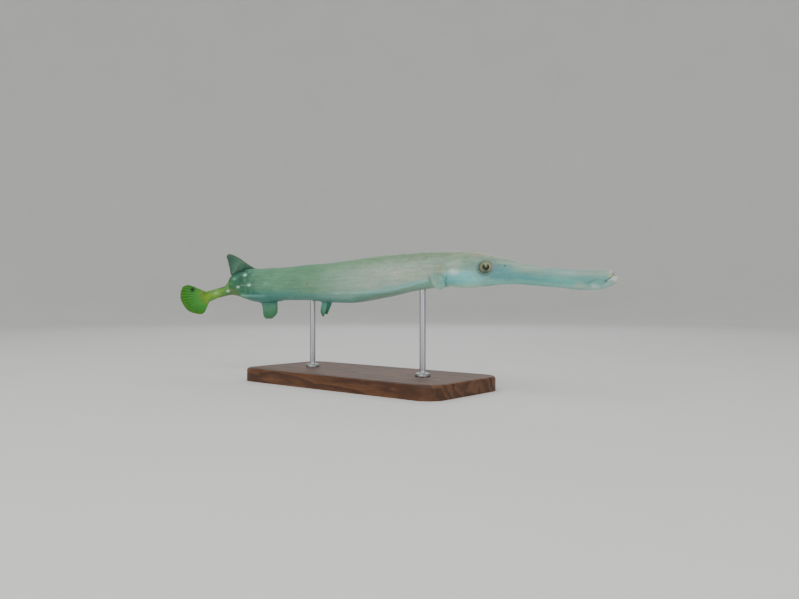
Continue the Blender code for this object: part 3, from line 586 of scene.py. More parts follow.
def shape_mouth(s):
    """The groove between the jaws with a lip on either side, and the folds behind its corner."""
    near, share = s.mouth()
    fade = window(share, (0.0, 0.10), (1.0, 0.90))
    s.out -= 0.0007 * bump(near, 0.00032) * (0.3 + 0.7 * fade)
    s.out += 0.00032 * bump(near, 0.00042, 0.00095) * fade
    slope = (NOTCH[1] - GAPE_CORNER[1]) / (NOTCH[0] - GAPE_CORNER[0])
    over_line = s.height - (NOTCH[1] + slope * (s.at - NOTCH[0]))
    s.lip = bump(near, 0.0006, 0.0009) * fade * (0.25 + 0.75 * ease(0.0003, -0.0005, over_line))
    at_corner = ease(0.13, 0.03, share) + ease(0.87, 0.97, share)
    # Painted shade in the groove between the jaws, most at its corners, and a patch of it in the corner of
    # the gape.
    s.dark += (0.22 + 0.6 * at_corner) * bump(near, 0.00040)
    s.dark += 0.65 * s.mound((0.0088, -0.0037), (0.0013, 0.0008))
    near, share = s.line(HINGE_LINE)
    s.out -= 0.00022 * bump(near, 0.00045) * ease(1.0, 0.85, share)
    # Painted shade along the hinge line.
    s.dark += 0.30 * bump(near, 0.0006) * ease(1.0, 0.45, share)
    near, share = s.line(CORNER_CREASE)
    fold, end = bump(share, 0.25, 0.60), ease(1.0, 0.80, share)
    s.out -= 0.00038 * bump(near, 0.00080) * (0.25 + 0.75 * fold) * end
    s.out += 0.00028 * bump(near, 0.0010, 0.0017) * arch(share)
    # Painted shade in the fold behind the corner.
    s.dark += (0.06 + 0.30 * fold) * bump(near, 0.0011) * end
    near, share = s.line(MAXILLA)
    s.out += 0.00028 * bump(near, 0.0010) * arch(np.clip(share, 0.03, 0.97), 0.5)


def shape_gill(s):
    """The line on the cheek, the gill cover as a plate with a free edge, and the fold of the throat."""
    near, share = s.line(CHEEK_LINE)
    fade = arch(np.clip(share, 0.02, 0.98), 0.6)
    s.out += (0.00012 * bump(near, 0.0009, 0.0016) - 0.00016 * bump(near, 0.0009)) * fade
    s.lip += 0.20 * bump(near, 0.0009, 0.0012) * fade
    share, around, free = cover_share(s.at, s.angle)
    s.cover = ease(1.02, 0.55, share)
    plate = 1 - np.clip(share, 0, 1) ** 3
    s.out += COVER_THICKNESS * (0.60 * plate + 0.40 * ease(1.012, 0.985, share) * free)
    s.out -= 0.00035 * bump(share, 0.028, 1.035) * free
    # Painted shade under the free edge of the gill cover, most towards its lower rear.
    s.dark += (0.10 + 0.45 * ease(-0.05, -0.65, around)) * bump(share, 0.030, 1.03) * free
    throat = window(s.at, (0.112, 0.124), (0.166, 0.156)) * s.below
    s.out -= 0.00050 * throat * bump(s.side, 0.0007)
    # Painted shade in the fold of the throat.
    s.dark += 0.5 * throat * bump(s.side, 0.0008)


def shape_roots(s):
    """Fleshy roots of the pectoral fins, and low sheaths along the roots of the other fins."""
    back = (s.at - PECTORAL_AT - 0.0012) / 0.0024
    around = (flank_turn(s.angle) - PECTORAL_ANGLE) * 0.0125 / 0.0040
    s.out += 0.0011 * bump(np.hypot(back, around), 1.0)
    for (start, end), sign in MIDLINE_ROOTS:
        run = window(s.at, (start - 0.004, start + 0.003), (end + 0.004, end - 0.002))
        s.out += 0.0009 * run * (s.above if sign > 0 else s.below) * bump(s.side, 0.0013)
    rear = PELVIC_AT + PELVIC_ROOT
    run = window(s.at, (PELVIC_AT - 0.003, PELVIC_AT + 0.001), (rear + 0.003, rear))
    s.out += 0.0007 * run * s.below * bump(np.abs(s.side), 0.0014, 0.0027)


def shape_trunk(s):
    """The vent, the groove along the back for the folded spines, and the flare on to the tail fin's rays."""
    near = np.hypot((s.at - VENT_AT) / 1.3, s.side)
    vent = s.below * bump(near, 0.0011)
    s.out += s.below * 0.0004 * bump(near, 0.0007, 0.0016) - 0.0011 * vent
    # Painted shade in the vent.
    s.dark += 0.8 * vent
    s.out -= 0.00025 * window(s.at, (0.178, 0.190), (0.424, 0.414)) * s.above * bump(s.side, 0.0011)
    s.out += 0.0002 * ease(0.508, 0.517, s.at) * np.abs(np.sin(s.angle))


# Masks of the skin, in order: painted shade in creases, grooves, the throat fold, the vent and under the gill
# cover's free edge; painted shade round the eye; painted shade in the nostrils; the pale lips; and the gill
# cover.
MASKS = ("dark", "socket", "nostril_shade", "lip", "cover")


def skin_points(at, angle, lift=0.0):
    """Points of the skin, and its masks for the colours in the order of MASKS."""
    s = Surface(at, angle)
    for shape in (shape_eye, shape_nostrils, shape_snout, shape_mouth, shape_gill, shape_roots, shape_trunk):
        shape(s)
    masks = [np.clip(getattr(s, name), 0, 1) for name in MASKS]
    return plain_surface(at, angle) + surface_normal(at, angle) * (s.out + lift)[..., None], masks


def unwrap(at, around, rear):
    """Place on the flat map of the skin: two strips, the front half and the rear half of the fish."""
    half = (TAIL_END + 0.004) / 2
    return np.stack([0.01 + 0.98 * (at - rear * half) / half, 0.01 + 0.48 * around + 0.5 * rear], -1)


def in_rear_half(at):
    return (at > (TAIL_END + 0.004) / 2).astype(float)


def corner_vertices(mesh):
    return np.array([corner.vertex_index for corner in mesh.loops])


def set_map(mesh, places):
    """Gives every corner of the mesh its place on the flat map."""
    layer = mesh.uv_layers.new(name="OFBake")
    layer.data.foreach_set("uv", places.astype(np.float32).ravel())


def write(mesh, name, values):
    """Stores a number or a vector for each point of the mesh, for the materials to read."""
    values = np.ascontiguousarray(values, np.float32)
    kind, field = ("FLOAT_VECTOR", "vector") if values.ndim == 2 else ("FLOAT", "value")
    mesh.attributes.new(name, kind, "POINT").data.foreach_set(field, values.ravel())


def write_skin_places(mesh, at, angle, masks):
    """Writes what the skin's materials read: place on the fish, level from belly to back, and the masks."""
    side, height = section(at, angle)
    top, bottom = edge_height(at, 1), edge_height(at, -1)
    write(mesh, "fish", np.stack([at, side, height], -1))
    write(mesh, "level", (height - (top + bottom) / 2) / np.maximum((top - bottom) / 2, 1e-5))
    for name, values in zip(MASKS, masks):
        write(mesh, name, values)


def mesh_from(name, points, faces):
    mesh = bpy.data.meshes.new(name)
    mesh.from_pydata([tuple(p) for p in points], [], faces)
    mesh.validate()
    mesh.shade_smooth()
    return mesh


def face_outward(mesh, mend=None):
    """Turns all faces outward, after an optional repair of the shape."""
    shape = bmesh.new()
    shape.from_mesh(mesh)
    if mend:
        mend(shape)
    bmesh.ops.recalc_face_normals(shape, faces=shape.faces)
    shape.to_mesh(mesh)
    shape.free()
    mesh.shade_smooth()


def add_to_scene(name, data):
    made = bpy.data.objects.new(name, data)
    bpy.context.scene.collection.objects.link(made)
    return made


def new_piece(name, mesh, look, slot, *nodes):
    """A piece of the model, which takes the place of the nodes named."""
    made = add_to_scene(name, mesh)
    mesh.materials.append(look)
    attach(made, "root")
    if nodes:
        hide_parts(*nodes)
    return made


def need(at, angle):
    """How many times the skin's coarse grid is halved at a place."""
    s = Surface(at, angle)
    eye, mouth = s.eye(), s.mouth()[0]
    share, _, free = cover_share(at, angle)
    off_edge = np.abs(share - 1.01)
    rules = [
        (1, (at < 0.166) | (at > 0.452)),
        (2, (eye < 1.5) | (at < 0.0115)),
        (3, (eye > 0.84) & (eye < 1.20)),
        (3, mouth < 0.0013),
        (2, (off_edge < 0.09) & (free > 0.02)),
        (3, (off_edge < 0.045) & (free > 0.05)),
        (2, (at > 0.110) & (at < 0.168) & s.below & (np.abs(s.side) < 0.0020)),
        (2, (np.hypot(at - VENT_AT, s.side) < 0.0035) & s.below),
    ]
    rules += [(3, np.hypot(at - row[0], s.height - row[1]) < 2.2 * row[2]) for row in NOSTRILS]
    for path, reach in ((HINGE_LINE, 0.0012), (CHEEK_LINE, 0.0014), (SNOUT_CREASE, 0.0011)):
        rules.append((2, s.line(path)[0] < reach))
    for (start, end), sign in MIDLINE_ROOTS:
        there = (at > start - 0.004) & (at < end + 0.004) & (s.above if sign > 0 else s.below)
        rules.append((2, there & (np.abs(s.side) < 0.0030)))
    level = np.zeros(len(at), int)
    for wanted, there in rules:
        level = np.maximum(level, wanted * there)
    return np.where(eye < 0.70, 1, level)


def skin_grid():
    """A flat mesh of distance and turn, finer at small forms. Its seam runs along the belly."""
    rows, columns = SKIN_ROWS, SKIN_COLUMNS
    shape = bmesh.new()
    verts = [
        [shape.verts.new((SKIN_END * r / rows, c / columns, 0)) for c in range(columns + 1)]
        for r in range(rows + 1)
    ]
    for r in range(rows):
        for c in range(columns):
            shape.faces.new((verts[r][c], verts[r + 1][c], verts[r + 1][c + 1], verts[r][c + 1]))
    for level in (1, 2, 3):
        faces = [f for f in shape.faces if len(f.verts) == 4]
        centres = np.array([f.calc_center_median()[:2] for f in faces])
        wanted = need(centres[:, 0], turn_on_grid(centres[:, 1])) >= level
        small = SKIN_END / rows / 2 ** (level - 1) * 1.01
        edges = set()
        for face, yes in zip(faces, wanted):
            if yes and all(abs(l.vert.co.x - l.link_loop_next.vert.co.x) < small for l in face.loops):
                edges.update(face.edges)
        bmesh.ops.subdivide_edges(shape, edges=list(edges), cuts=1, use_grid_fill=True)
    bmesh.ops.triangulate(shape, faces=[f for f in shape.faces if len(f.verts) > 4])
    shape.verts.index_update()
    flat = np.array([v.co[:2] for v in shape.verts])
    faces = [[v.index for v in f.verts] for f in shape.faces]
    shape.free()
    return flat, faces


def turn_on_grid(share):
    """Angle on the body of a share of the way round, which starts at the belly."""
    return share * 2 * math.pi - math.pi / 2


def close_skin(shape):
    """Joins the two edges of the belly seam, and closes the ring at each end."""
    bmesh.ops.remove_doubles(shape, verts=[v for v in shape.verts if v.is_boundary], dist=2e-6)
    bmesh.ops.holes_fill(shape, edges=[e for e in shape.edges if e.is_boundary], sides=0)
    bmesh.ops.dissolve_degenerate(shape, dist=1e-7, edges=shape.edges)


def make_skin(look):
    """One closed skin over jaws, head, gill covers, trunk and tail."""
    flat, faces = skin_grid()
    at, angle = flat[:, 0], turn_on_grid(flat[:, 1])
    points, masks = skin_points(at, angle)
    mesh = mesh_from("skin", points, faces)
    write_skin_places(mesh, at, angle, masks)
    # Each face lies whole on one strip of the map
    corners = corner_vertices(mesh)
    face_of = np.repeat(np.arange(len(mesh.polygons)), [p.loop_total for p in mesh.polygons])
    middle = np.bincount(face_of, at[corners]) / np.bincount(face_of)
    set_map(mesh, unwrap(at[corners], flat[corners, 1], in_rear_half(middle[face_of])))
    face_outward(mesh, close_skin)
    nodes = ("snout", "lower_jaw", "head", "gill_cover_left", "gill_cover_right")
    nodes += ("trunk_front", "trunk_rear", "tail")
    return new_piece("skin", mesh, look, "trunk_skin", *nodes)


def scale_rows():
    """Distance, turn, pitch and step of turn of each scale, in staggered rows round the body."""
    rows = []
    at, k = SCALES_FROM, 0
    while at < SCALES_TO:
        top, bottom, width = (float(curve_through(BODY, c, np.array(at))) for c in (1, 2, 3))
        girth = 2 * math.pi * math.sqrt((((top - bottom) / 2) ** 2 + width**2) / 2)
        pitch = SCALE_PITCH * (1.0 if at < 0.44 else 0.80)
        count = int(6 * round(girth / pitch / 6))
        turn = (np.arange(count) + 0.5 * (k % 2)) / count * 2 * math.pi
        rows.append([np.full(count, at), turn, np.full(count, pitch), np.full(count, 2 * math.pi / count)])
        at += pitch * 0.82
        k += 1
    return np.hstack(rows)


def room_for_scales(at, turn):
    """Where scales grow: not on the gill covers, the fins' roots and the vent."""
    side, up = section(at, turn)[0], np.sin(turn)
    share = cover_share(at, turn)[0]
    from_fin = np.hypot((at - PECTORAL_AT - 0.001) / 0.0035, (flank_turn(turn) - PECTORAL_ANGLE) / 0.40)
    room = (share > 1.12) & (from_fin > 1)
    room &= ~((at < 0.158) & (share < 1.35) & (up < 0.2))
    # The edge of the scaled skin runs forward over the nape and back towards the throat
    room &= at > 0.1545 - 0.004 * up
    for (start, end), sign in MIDLINE_ROOTS:
        room &= ~((at > start) & (at < end) & (up * sign > 0) & (np.abs(side) < 0.0012))
    return room & ~((np.hypot(at - VENT_AT, side) < 0.0022) & (up < 0))


def make_scales(look):
    """Small plates in staggered rows over the trunk and tail, each with its rear edge raised."""
    rng = np.random.default_rng(7)
    at, turn, pitch, step = scale_rows()
    at += rng.normal(0, 0.00005, len(at))
    room = room_for_scales(at, turn)
    at, turn, pitch, step = (values[room, None] for values in (at, turn, pitch, step))
    fade = ease(0.1515, 0.1640, at + 0.004 * np.sin(turn)) * ease(1.05, 1.35, cover_share(at, turn)[0])
    fade = 0.15 + 0.85 * fade * ease(0.5225, 0.5170, at)
    along, across, rise = np.array(SCALE_OUTLINE).T
    tone = rng.random(len(at))
    spots = at + (along - 0.4) * pitch * (1 + 0.06 * rng.standard_normal(at.shape))
    spots = np.clip(spots.ravel(), 0.001, SKIN_END - 0.0002)
    turns = (turn + across * step * 0.62).ravel()
    lift = rise * (0.85 + 0.3 * rng.random(at.shape)) * fade - 0.00003 * (1 - fade)
    points, masks = skin_points(spots, turns, lift.ravel())
    faces = np.array(SCALE_TOP + SCALE_EDGE) + (np.arange(len(at)) * len(along))[:, None, None]
    mesh = mesh_from("scales", points, faces.reshape(-1, 3).tolist())
    write_skin_places(mesh, spots, turns, masks)
    write(mesh, "tone", np.repeat(tone, len(along)))
    root = unwrap(at, (turn / (2 * math.pi) + 0.25) % 1, in_rear_half(at))
    patch = 0.0028 * np.stack([along - 0.5, across * 0.5], -1)
    set_map(mesh, (root + patch).reshape(-1, 2)[corner_vertices(mesh)])
    return new_piece("scales", mesh, look, "trunk_skin")


def sheet_faces(columns, rows):
    """Triangles of a closed sheet: its near side, its far side, and the wall round the rim."""
    count = columns * rows
    index = np.arange(count).reshape(columns, rows)
    a, b, c, d = index[:-1, :-1], index[1:, :-1], index[1:, 1:], index[:-1, 1:]
    front = np.concatenate([np.stack(corners, -1).reshape(-1, 3) for corners in ((a, b, c), (a, c, d))])
    rim = np.concatenate([index[:, 0], index[-1, 1:], index[-2::-1, -1], index[0, -2:0:-1]])
    ahead = np.roll(rim, -1)
    wall = [np.stack(three, -1) for three in ((ahead, rim, rim + count), (ahead, rim + count, ahead + count))]
    return np.concatenate([front, front[:, ::-1] + count, *wall]).tolist()


def blade(name, middle, rays, rows, look, slot, style):
    """A thin fin: a membrane with rays raised in it, that fork towards a softly notched margin.

    middle(t, v) gives points of the mid surface and the unit vectors across it, for shares t along
    the root and v from below the root to the margin.
    """
    columns = (rays - 1) * COLUMNS_PER_RAY + 1
    t, v = np.meshgrid(np.linspace(0, 1, columns), np.linspace(-FIN_SUNK, 1, rows + 1), indexing="ij")
    phase, out = t * (rays - 1), np.clip(v, 0, 1)
    fork = style["fork"] * ease(0.45, 1.0, v)
    ray = bump(np.abs(phase - np.round(phase)), 0.11 + 0.05 * fork, fork)
    edge_ray = bump(t, 0.012) + bump(t, 0.012, 1)
    notch = style["notch"] * (0.5 - 0.5 * np.cos(2 * math.pi * phase)) * ease(0.80, 1.0, v)
    points, across = middle(t, v * (1 - notch))
    joints = 0.5 + 0.5 * np.cos(v * style["joints"] * 2 * math.pi)
    ridge = style["ray"] * (1 - 0.72 * out) * (0.82 + 0.18 * joints * ease(0.2, 0.4, v))
    thick = style["membrane"] * (1 - 0.5 * out) + ridge * np.maximum(ray, 0.8 * edge_ray)
    wave = style["wave"] * np.sin(phase * 0.9 + 1.3) * ease(0.1, 1.0, v) * arch(t)
    centre, half = points + across * wave[..., None], across * (thick / 2)[..., None]
    sides = np.vstack([(centre + half).reshape(-1, 3), (centre - half).reshape(-1, 3)])
    mesh = mesh_from(name + "_rayed", sides, sheet_faces(columns, rows + 1))
    write(mesh, "ray", np.tile(np.clip(np.maximum(ray, edge_ray), 0, 1).ravel(), 2))
    write(mesh, "blade", np.tile(np.stack([t, v, joints], -1).reshape(-1, 3), (2, 1)))
    face_outward(mesh)
    mesh.set_sharp_from_angle(angle=math.radians(60))
    far, spot = np.divmod(corner_vertices(mesh), t.size)
    height = (v.ravel()[spot] + FIN_SUNK) / (1 + FIN_SUNK)
    set_map(mesh, np.stack([0.02 + 0.96 * t.ravel()[spot], 0.01 + 0.5 * far + 0.48 * height], -1))
    return new_piece(name + "_rayed", mesh, look, slot, name)


def midline(at, height):
    """Points of the fish's middle plane, and the way across it."""
    return place(at, height, 0.0), axes_at(at)[1]


def make_midline_fin(name, root, sign, margin, rays, rows, look):
    """The dorsal fin with sign 1, or the anal fin with sign -1, kept out of the body behind its root."""
    start, end = root

    def middle(t, v):
        root_at = start + (end - start) * t
        root_height = edge_height(root_at, sign)
        at = root_at + (curve_through(margin, 1, t) - root_at) * v
        height = root_height + (curve_through(margin, 2, t) - root_height) * v
        clear = edge_height(np.minimum(at, TAIL_END), sign) + sign * GAP * np.clip(v, 0, 1)
        height = np.where((v > 0) & ((height - clear) * sign < 0), clear, height)
        return midline(at, height)

    return blade(name, middle, rays, rows, look, "fin_skin", LONG_FIN)


def make_caudal_fin(look):
    """The tail fin, a fan of rays from the end of the tail."""
    top, bottom = BODY[-1][1] - 0.0001, BODY[-1][2] + 0.0001
    centre = (top + bottom) / 2
    lowest, highest = CAUDAL_MARGIN[0][0], CAUDAL_MARGIN[-1][0]

    def middle(t, v):
        root_height = top + (bottom - top) * t
        degrees = highest + (lowest - highest) * t
        length, angle = curve_through(CAUDAL_MARGIN, 1, degrees), np.radians(degrees)
        at = TAIL_END + GAP + length * np.cos(angle) * v - 0.0012 * (v < 0)
        height = root_height + (centre + length * np.sin(angle) - root_height) * v
        return midline(at, height)

    return blade("caudal_fin", middle, 17, 44, look, "caudal_skin", TAIL_FIN)


def side_frame(at, angle):
    """Point, and unit vectors back, up and out, where a paired fin grows."""
    at, angle = np.asarray(at, float), np.asarray(angle, float)
    out = surface_normal(at, angle)
    back = unit(plain_surface(at + 0.003, angle) - plain_surface(at - 0.003, angle))
    up = np.cross(out, back)
    return plain_surface(at, angle), back, up * np.sign(up[..., 2:3]), out


def make_pectoral_fin(name, side, look):
    upper, lower = PECTORAL_FAN
    cos_flare, sin_flare = math.cos(PECTORAL_FLARE), math.sin(PECTORAL_FLARE)
    angle = PECTORAL_ANGLE if side > 0 else math.pi - PECTORAL_ANGLE
    point, back, up, out = side_frame(PECTORAL_AT, angle)
    across = unit(out * cos_flare - back * sin_flare)

    def middle(t, v):
        fan = upper + (lower - upper) * t + PECTORAL_LIFT[side]
        shape = 1 + PECTORAL_BULGE * arch(t) - PECTORAL_SHORTENING * t * t
        way = (back * np.cos(fan)[..., None] + up * np.sin(fan)[..., None]) * cos_flare + out * sin_flare
        root = point + up * (PECTORAL_ROOT * (0.5 - t))[..., None] + out * 0.0013
        cup = out * (0.0006 * arch(t) * v * v)[..., None]
        points = root + way * (PECTORAL_LENGTH * shape * v)[..., None] + cup
        return points, np.broadcast_to(across, points.shape)

    return blade(name, middle, 15, 26, look, "fin_skin", SMALL_FIN)


def make_pelvic_fin(name, side, look):
    angle = PELVIC_ANGLE if side > 0 else math.pi - PELVIC_ANGLE
    sin_splay, cos_splay = math.sin(PELVIC_SPLAY), math.cos(PELVIC_SPLAY)
    down = np.array((0.0, side * sin_splay, -cos_splay))
    across = np.array((0.0, side * cos_splay, sin_splay))

    def middle(t, v):
        point, back, _, out = side_frame(PELVIC_AT + PELVIC_ROOT * t, np.full_like(t, angle))
        lean = PELVIC_LEAN[side] + math.radians(8) * t
        length = PELVIC_LENGTH * (0.92 + 0.16 * t - 0.42 * t * t)
        way = down * np.cos(lean)[..., None] + back * np.sin(lean)[..., None]
        narrow = back * (PELVIC_NARROWING * (0.3 - t) * v * v)[..., None]
        points = point + out * (GAP + 0.0001) + way * (length * v)[..., None] + narrow
        return points, np.broadcast_to(across, points.shape)

    return blade(name, middle, 6, 30, look, "fin_skin", SMALL_FIN)


def make_eye(name, side, look):
    """An eyeball whose pupil looks a little forward, with a low bulge over the iris."""
    segments, rings = 96, 64
    axis = unit(np.array((math.sin(EYE_FORWARD), side * math.cos(EYE_FORWARD), EYE_UP)))
    across = unit(np.cross((0, 0, 1), axis))
    over = np.cross(axis, across)
    tilts, turns = math.pi * np.arange(1, rings) / rings, 2 * math.pi * np.arange(segments) / segments
    tilt = np.concatenate([[0], np.repeat(tilts, segments), [math.pi]])[:, None]
    turn = np.concatenate([[0], np.tile(turns, rings - 1), [0]])[:, None]
    way = axis * np.cos(tilt) + (across * np.cos(turn) + over * np.sin(turn)) * np.sin(tilt)
    size = np.array((EYE_LENGTH, EYE_THICKNESS, EYE_DEPTH)) / 2 * (1 + 0.035 * np.exp(-((tilt / 0.62) ** 4)))
    last = len(tilt) - 1
    following = [(k + 1) % segments for k in range(segments)]
    faces = [(0, 1 + k, 1 + j) for k, j in enumerate(following)]
    for low in range(1, last - segments, segments):
        high = low + segments
        faces += [(low + k, high + k, high + j, low + j) for k, j in enumerate(following)]
    faces += [(last, last - segments + j, last - segments + k) for k, j in enumerate(following)]
    mesh = mesh_from(name, place(EYE_AT, EYE_HEIGHT, side * EYE_OUT) + way * size, faces)
    write(mesh, "iris", np.hstack([tilt * np.cos(turn) * side, tilt * np.sin(turn), tilt]))
    face_outward(mesh)
    return new_piece(name + "_wet", mesh, look, "eye", name)


def ring_faces(rings, sides):
    """Faces between rings of points, then the caps over the first ring and over the last."""
    faces = []
    for k in range(rings - 1):
        for j in range(sides):
            i = (j + 1) % sides
            faces.append((k * sides + j, k * sides + i, (k + 1) * sides + i, (k + 1) * sides + j))
    faces.append(tuple(range(sides))[::-1])
    faces.append(tuple(range((rings - 1) * sides, rings * sides)))
    return faces


def lathe(rings, sides, centre=(0.0, 0.0)):
    """Points of rings round an upright axis, each with its radius and its height."""
    turn = 2 * math.pi * np.arange(sides) / sides
    x, y = np.cos(turn), np.sin(turn)
    return np.vstack([np.stack([centre[0] + r * x, centre[1] + r * y, z + 0 * x], -1) for r, z in rings])


def tube_mesh(points, radii, sides):
    """Points and faces of a round, tapered tube along points, closed at both ends."""
    turn = 2 * math.pi * np.arange(sides)[:, None] / sides
    verts, across = [], np.array((0, 1, 0.0))
    for k, radius in enumerate(radii):
        along = unit(points[min(k + 1, len(points) - 1)] - points[max(k - 1, 0)])
        across = unit(across - along * (across @ along))
        over = np.cross(along, across)
        verts += list(points[k] + (across * np.cos(turn) + over * np.sin(turn)) * radius)
    return verts, ring_faces(len(points), sides)


def folded_spine(at):
    """A spine that lies back in the groove, lifted a little in its middle."""
    steps = np.linspace(0, 1, 9)
    here = at + FOLDED_SPINE_LENGTH * steps
    lift = -0.0006 + 0.00055 * arch(steps * 1.15, 0.6)
    radii = FOLDED_SPINE_RADIUS * (1 - 0.86 * steps**1.4)
    return tube_mesh(place(here, edge_height(here, 1) + lift, 0.0), radii, 12)


def spine_membrane(at):
    """A low fold that joins a spine's tip to the back: three rows of points on each side."""
    columns = 14
    steps = np.linspace(0.15, 1.45, columns)
    here = at + FOLDED_SPINE_LENGTH * steps
    rise = 0.0002 * arch((steps - 0.15) / 1.3, 0.7)
    rows = ((-0.0008, 0.00045), (rise * 0.6, 0.00022), (rise, 0.00006))
    back = edge_height(here, 1)
    points = [np.stack([place(here, back + up, side * half) for up, half in rows], 1) for side in (1, -1)]
    faces = []
    for p in range(0, 3 * (columns - 1), 3):
        q = p + 3 * columns
        faces += [(p, p + 3, p + 4, p + 1), (p + 1, p + 4, p + 5, p + 2), (p + 2, p + 5, q + 5, q + 2)]
        faces += [(q + 1, q + 4, q + 3, q), (q + 2, q + 5, q + 4, q + 1)]
    return np.concatenate(points).reshape(-1, 3), faces


def make_back_spines(look):
    """The folded spines of the back, each with the low membrane behind it."""
    verts, faces, tone = [], [], []
    for at in np.linspace(SPINES_FROM, SPINES_TO, SPINE_COUNT):
        for shade, (points, sides) in ((1.0, folded_spine(at)), (0.0, spine_membrane(at))):
            faces += [tuple(i + len(verts) for i in face) for face in sides]
            verts += list(points)
            tone += [shade] * len(points)
    mesh = mesh_from("back_spines", verts, faces)
    write(mesh, "tone", tone)
    return new_piece("back_spines", mesh, look, "trunk_skin")


def make_barbel(look):
    steps, sides = np.linspace(0, 1, 12), 14
    at = BARBEL_START + BARBEL_LENGTH * steps
    points = place(at, edge_height(at, -1) - 0.00012 * arch(steps) + 0.0004 * (1 - steps) ** 6, 0.0)
    radii = BARBEL_RADIUS * (1 - 0.62 * steps) * np.sqrt(np.clip(1.02 - steps**8, 0.05, 1))
    mesh = mesh_from("barbel", *tube_mesh(points, radii, sides))
    write(mesh, "tone", steps.repeat(sides))
    return new_piece("barbel", mesh, look, "snout_skin")


def make_rod(name, at, look):
    """A turned rod with a stepped foot, whose top is shaped to the belly."""
    sides = 64
    centre = place(at, 0.0, 0.0)
    x, y, _ = lathe([(ROD_RADIUS, 0.0)], sides).T
    belly = section(at - x, turn_where(at - x, np.abs(y), 0, -math.pi / 2, 0))[1]
    top = centre[2] + belly - 0.0002
    rings = [(radius, BASE_TOP + GAP + rise) for radius, rise in ROD_FOOT]
    rings += [(ROD_RADIUS, top - 0.0005), (ROD_RADIUS, top)]
    mesh = mesh_from(name, lathe(rings, sides, centre), ring_faces(len(rings), sides))
    mesh.set_sharp_from_angle(angle=math.radians(28))
    return new_piece(name + "_turned", mesh, look, "stand_rod", name)


def seen(colour):
    """Screen colour, 0 to 255, as the linear colour that a shader takes."""
    return tuple(((c / 255 + 0.055) / 1.055) ** 2.4 if c > 10 else c / 255 / 12.92 for c in colour)


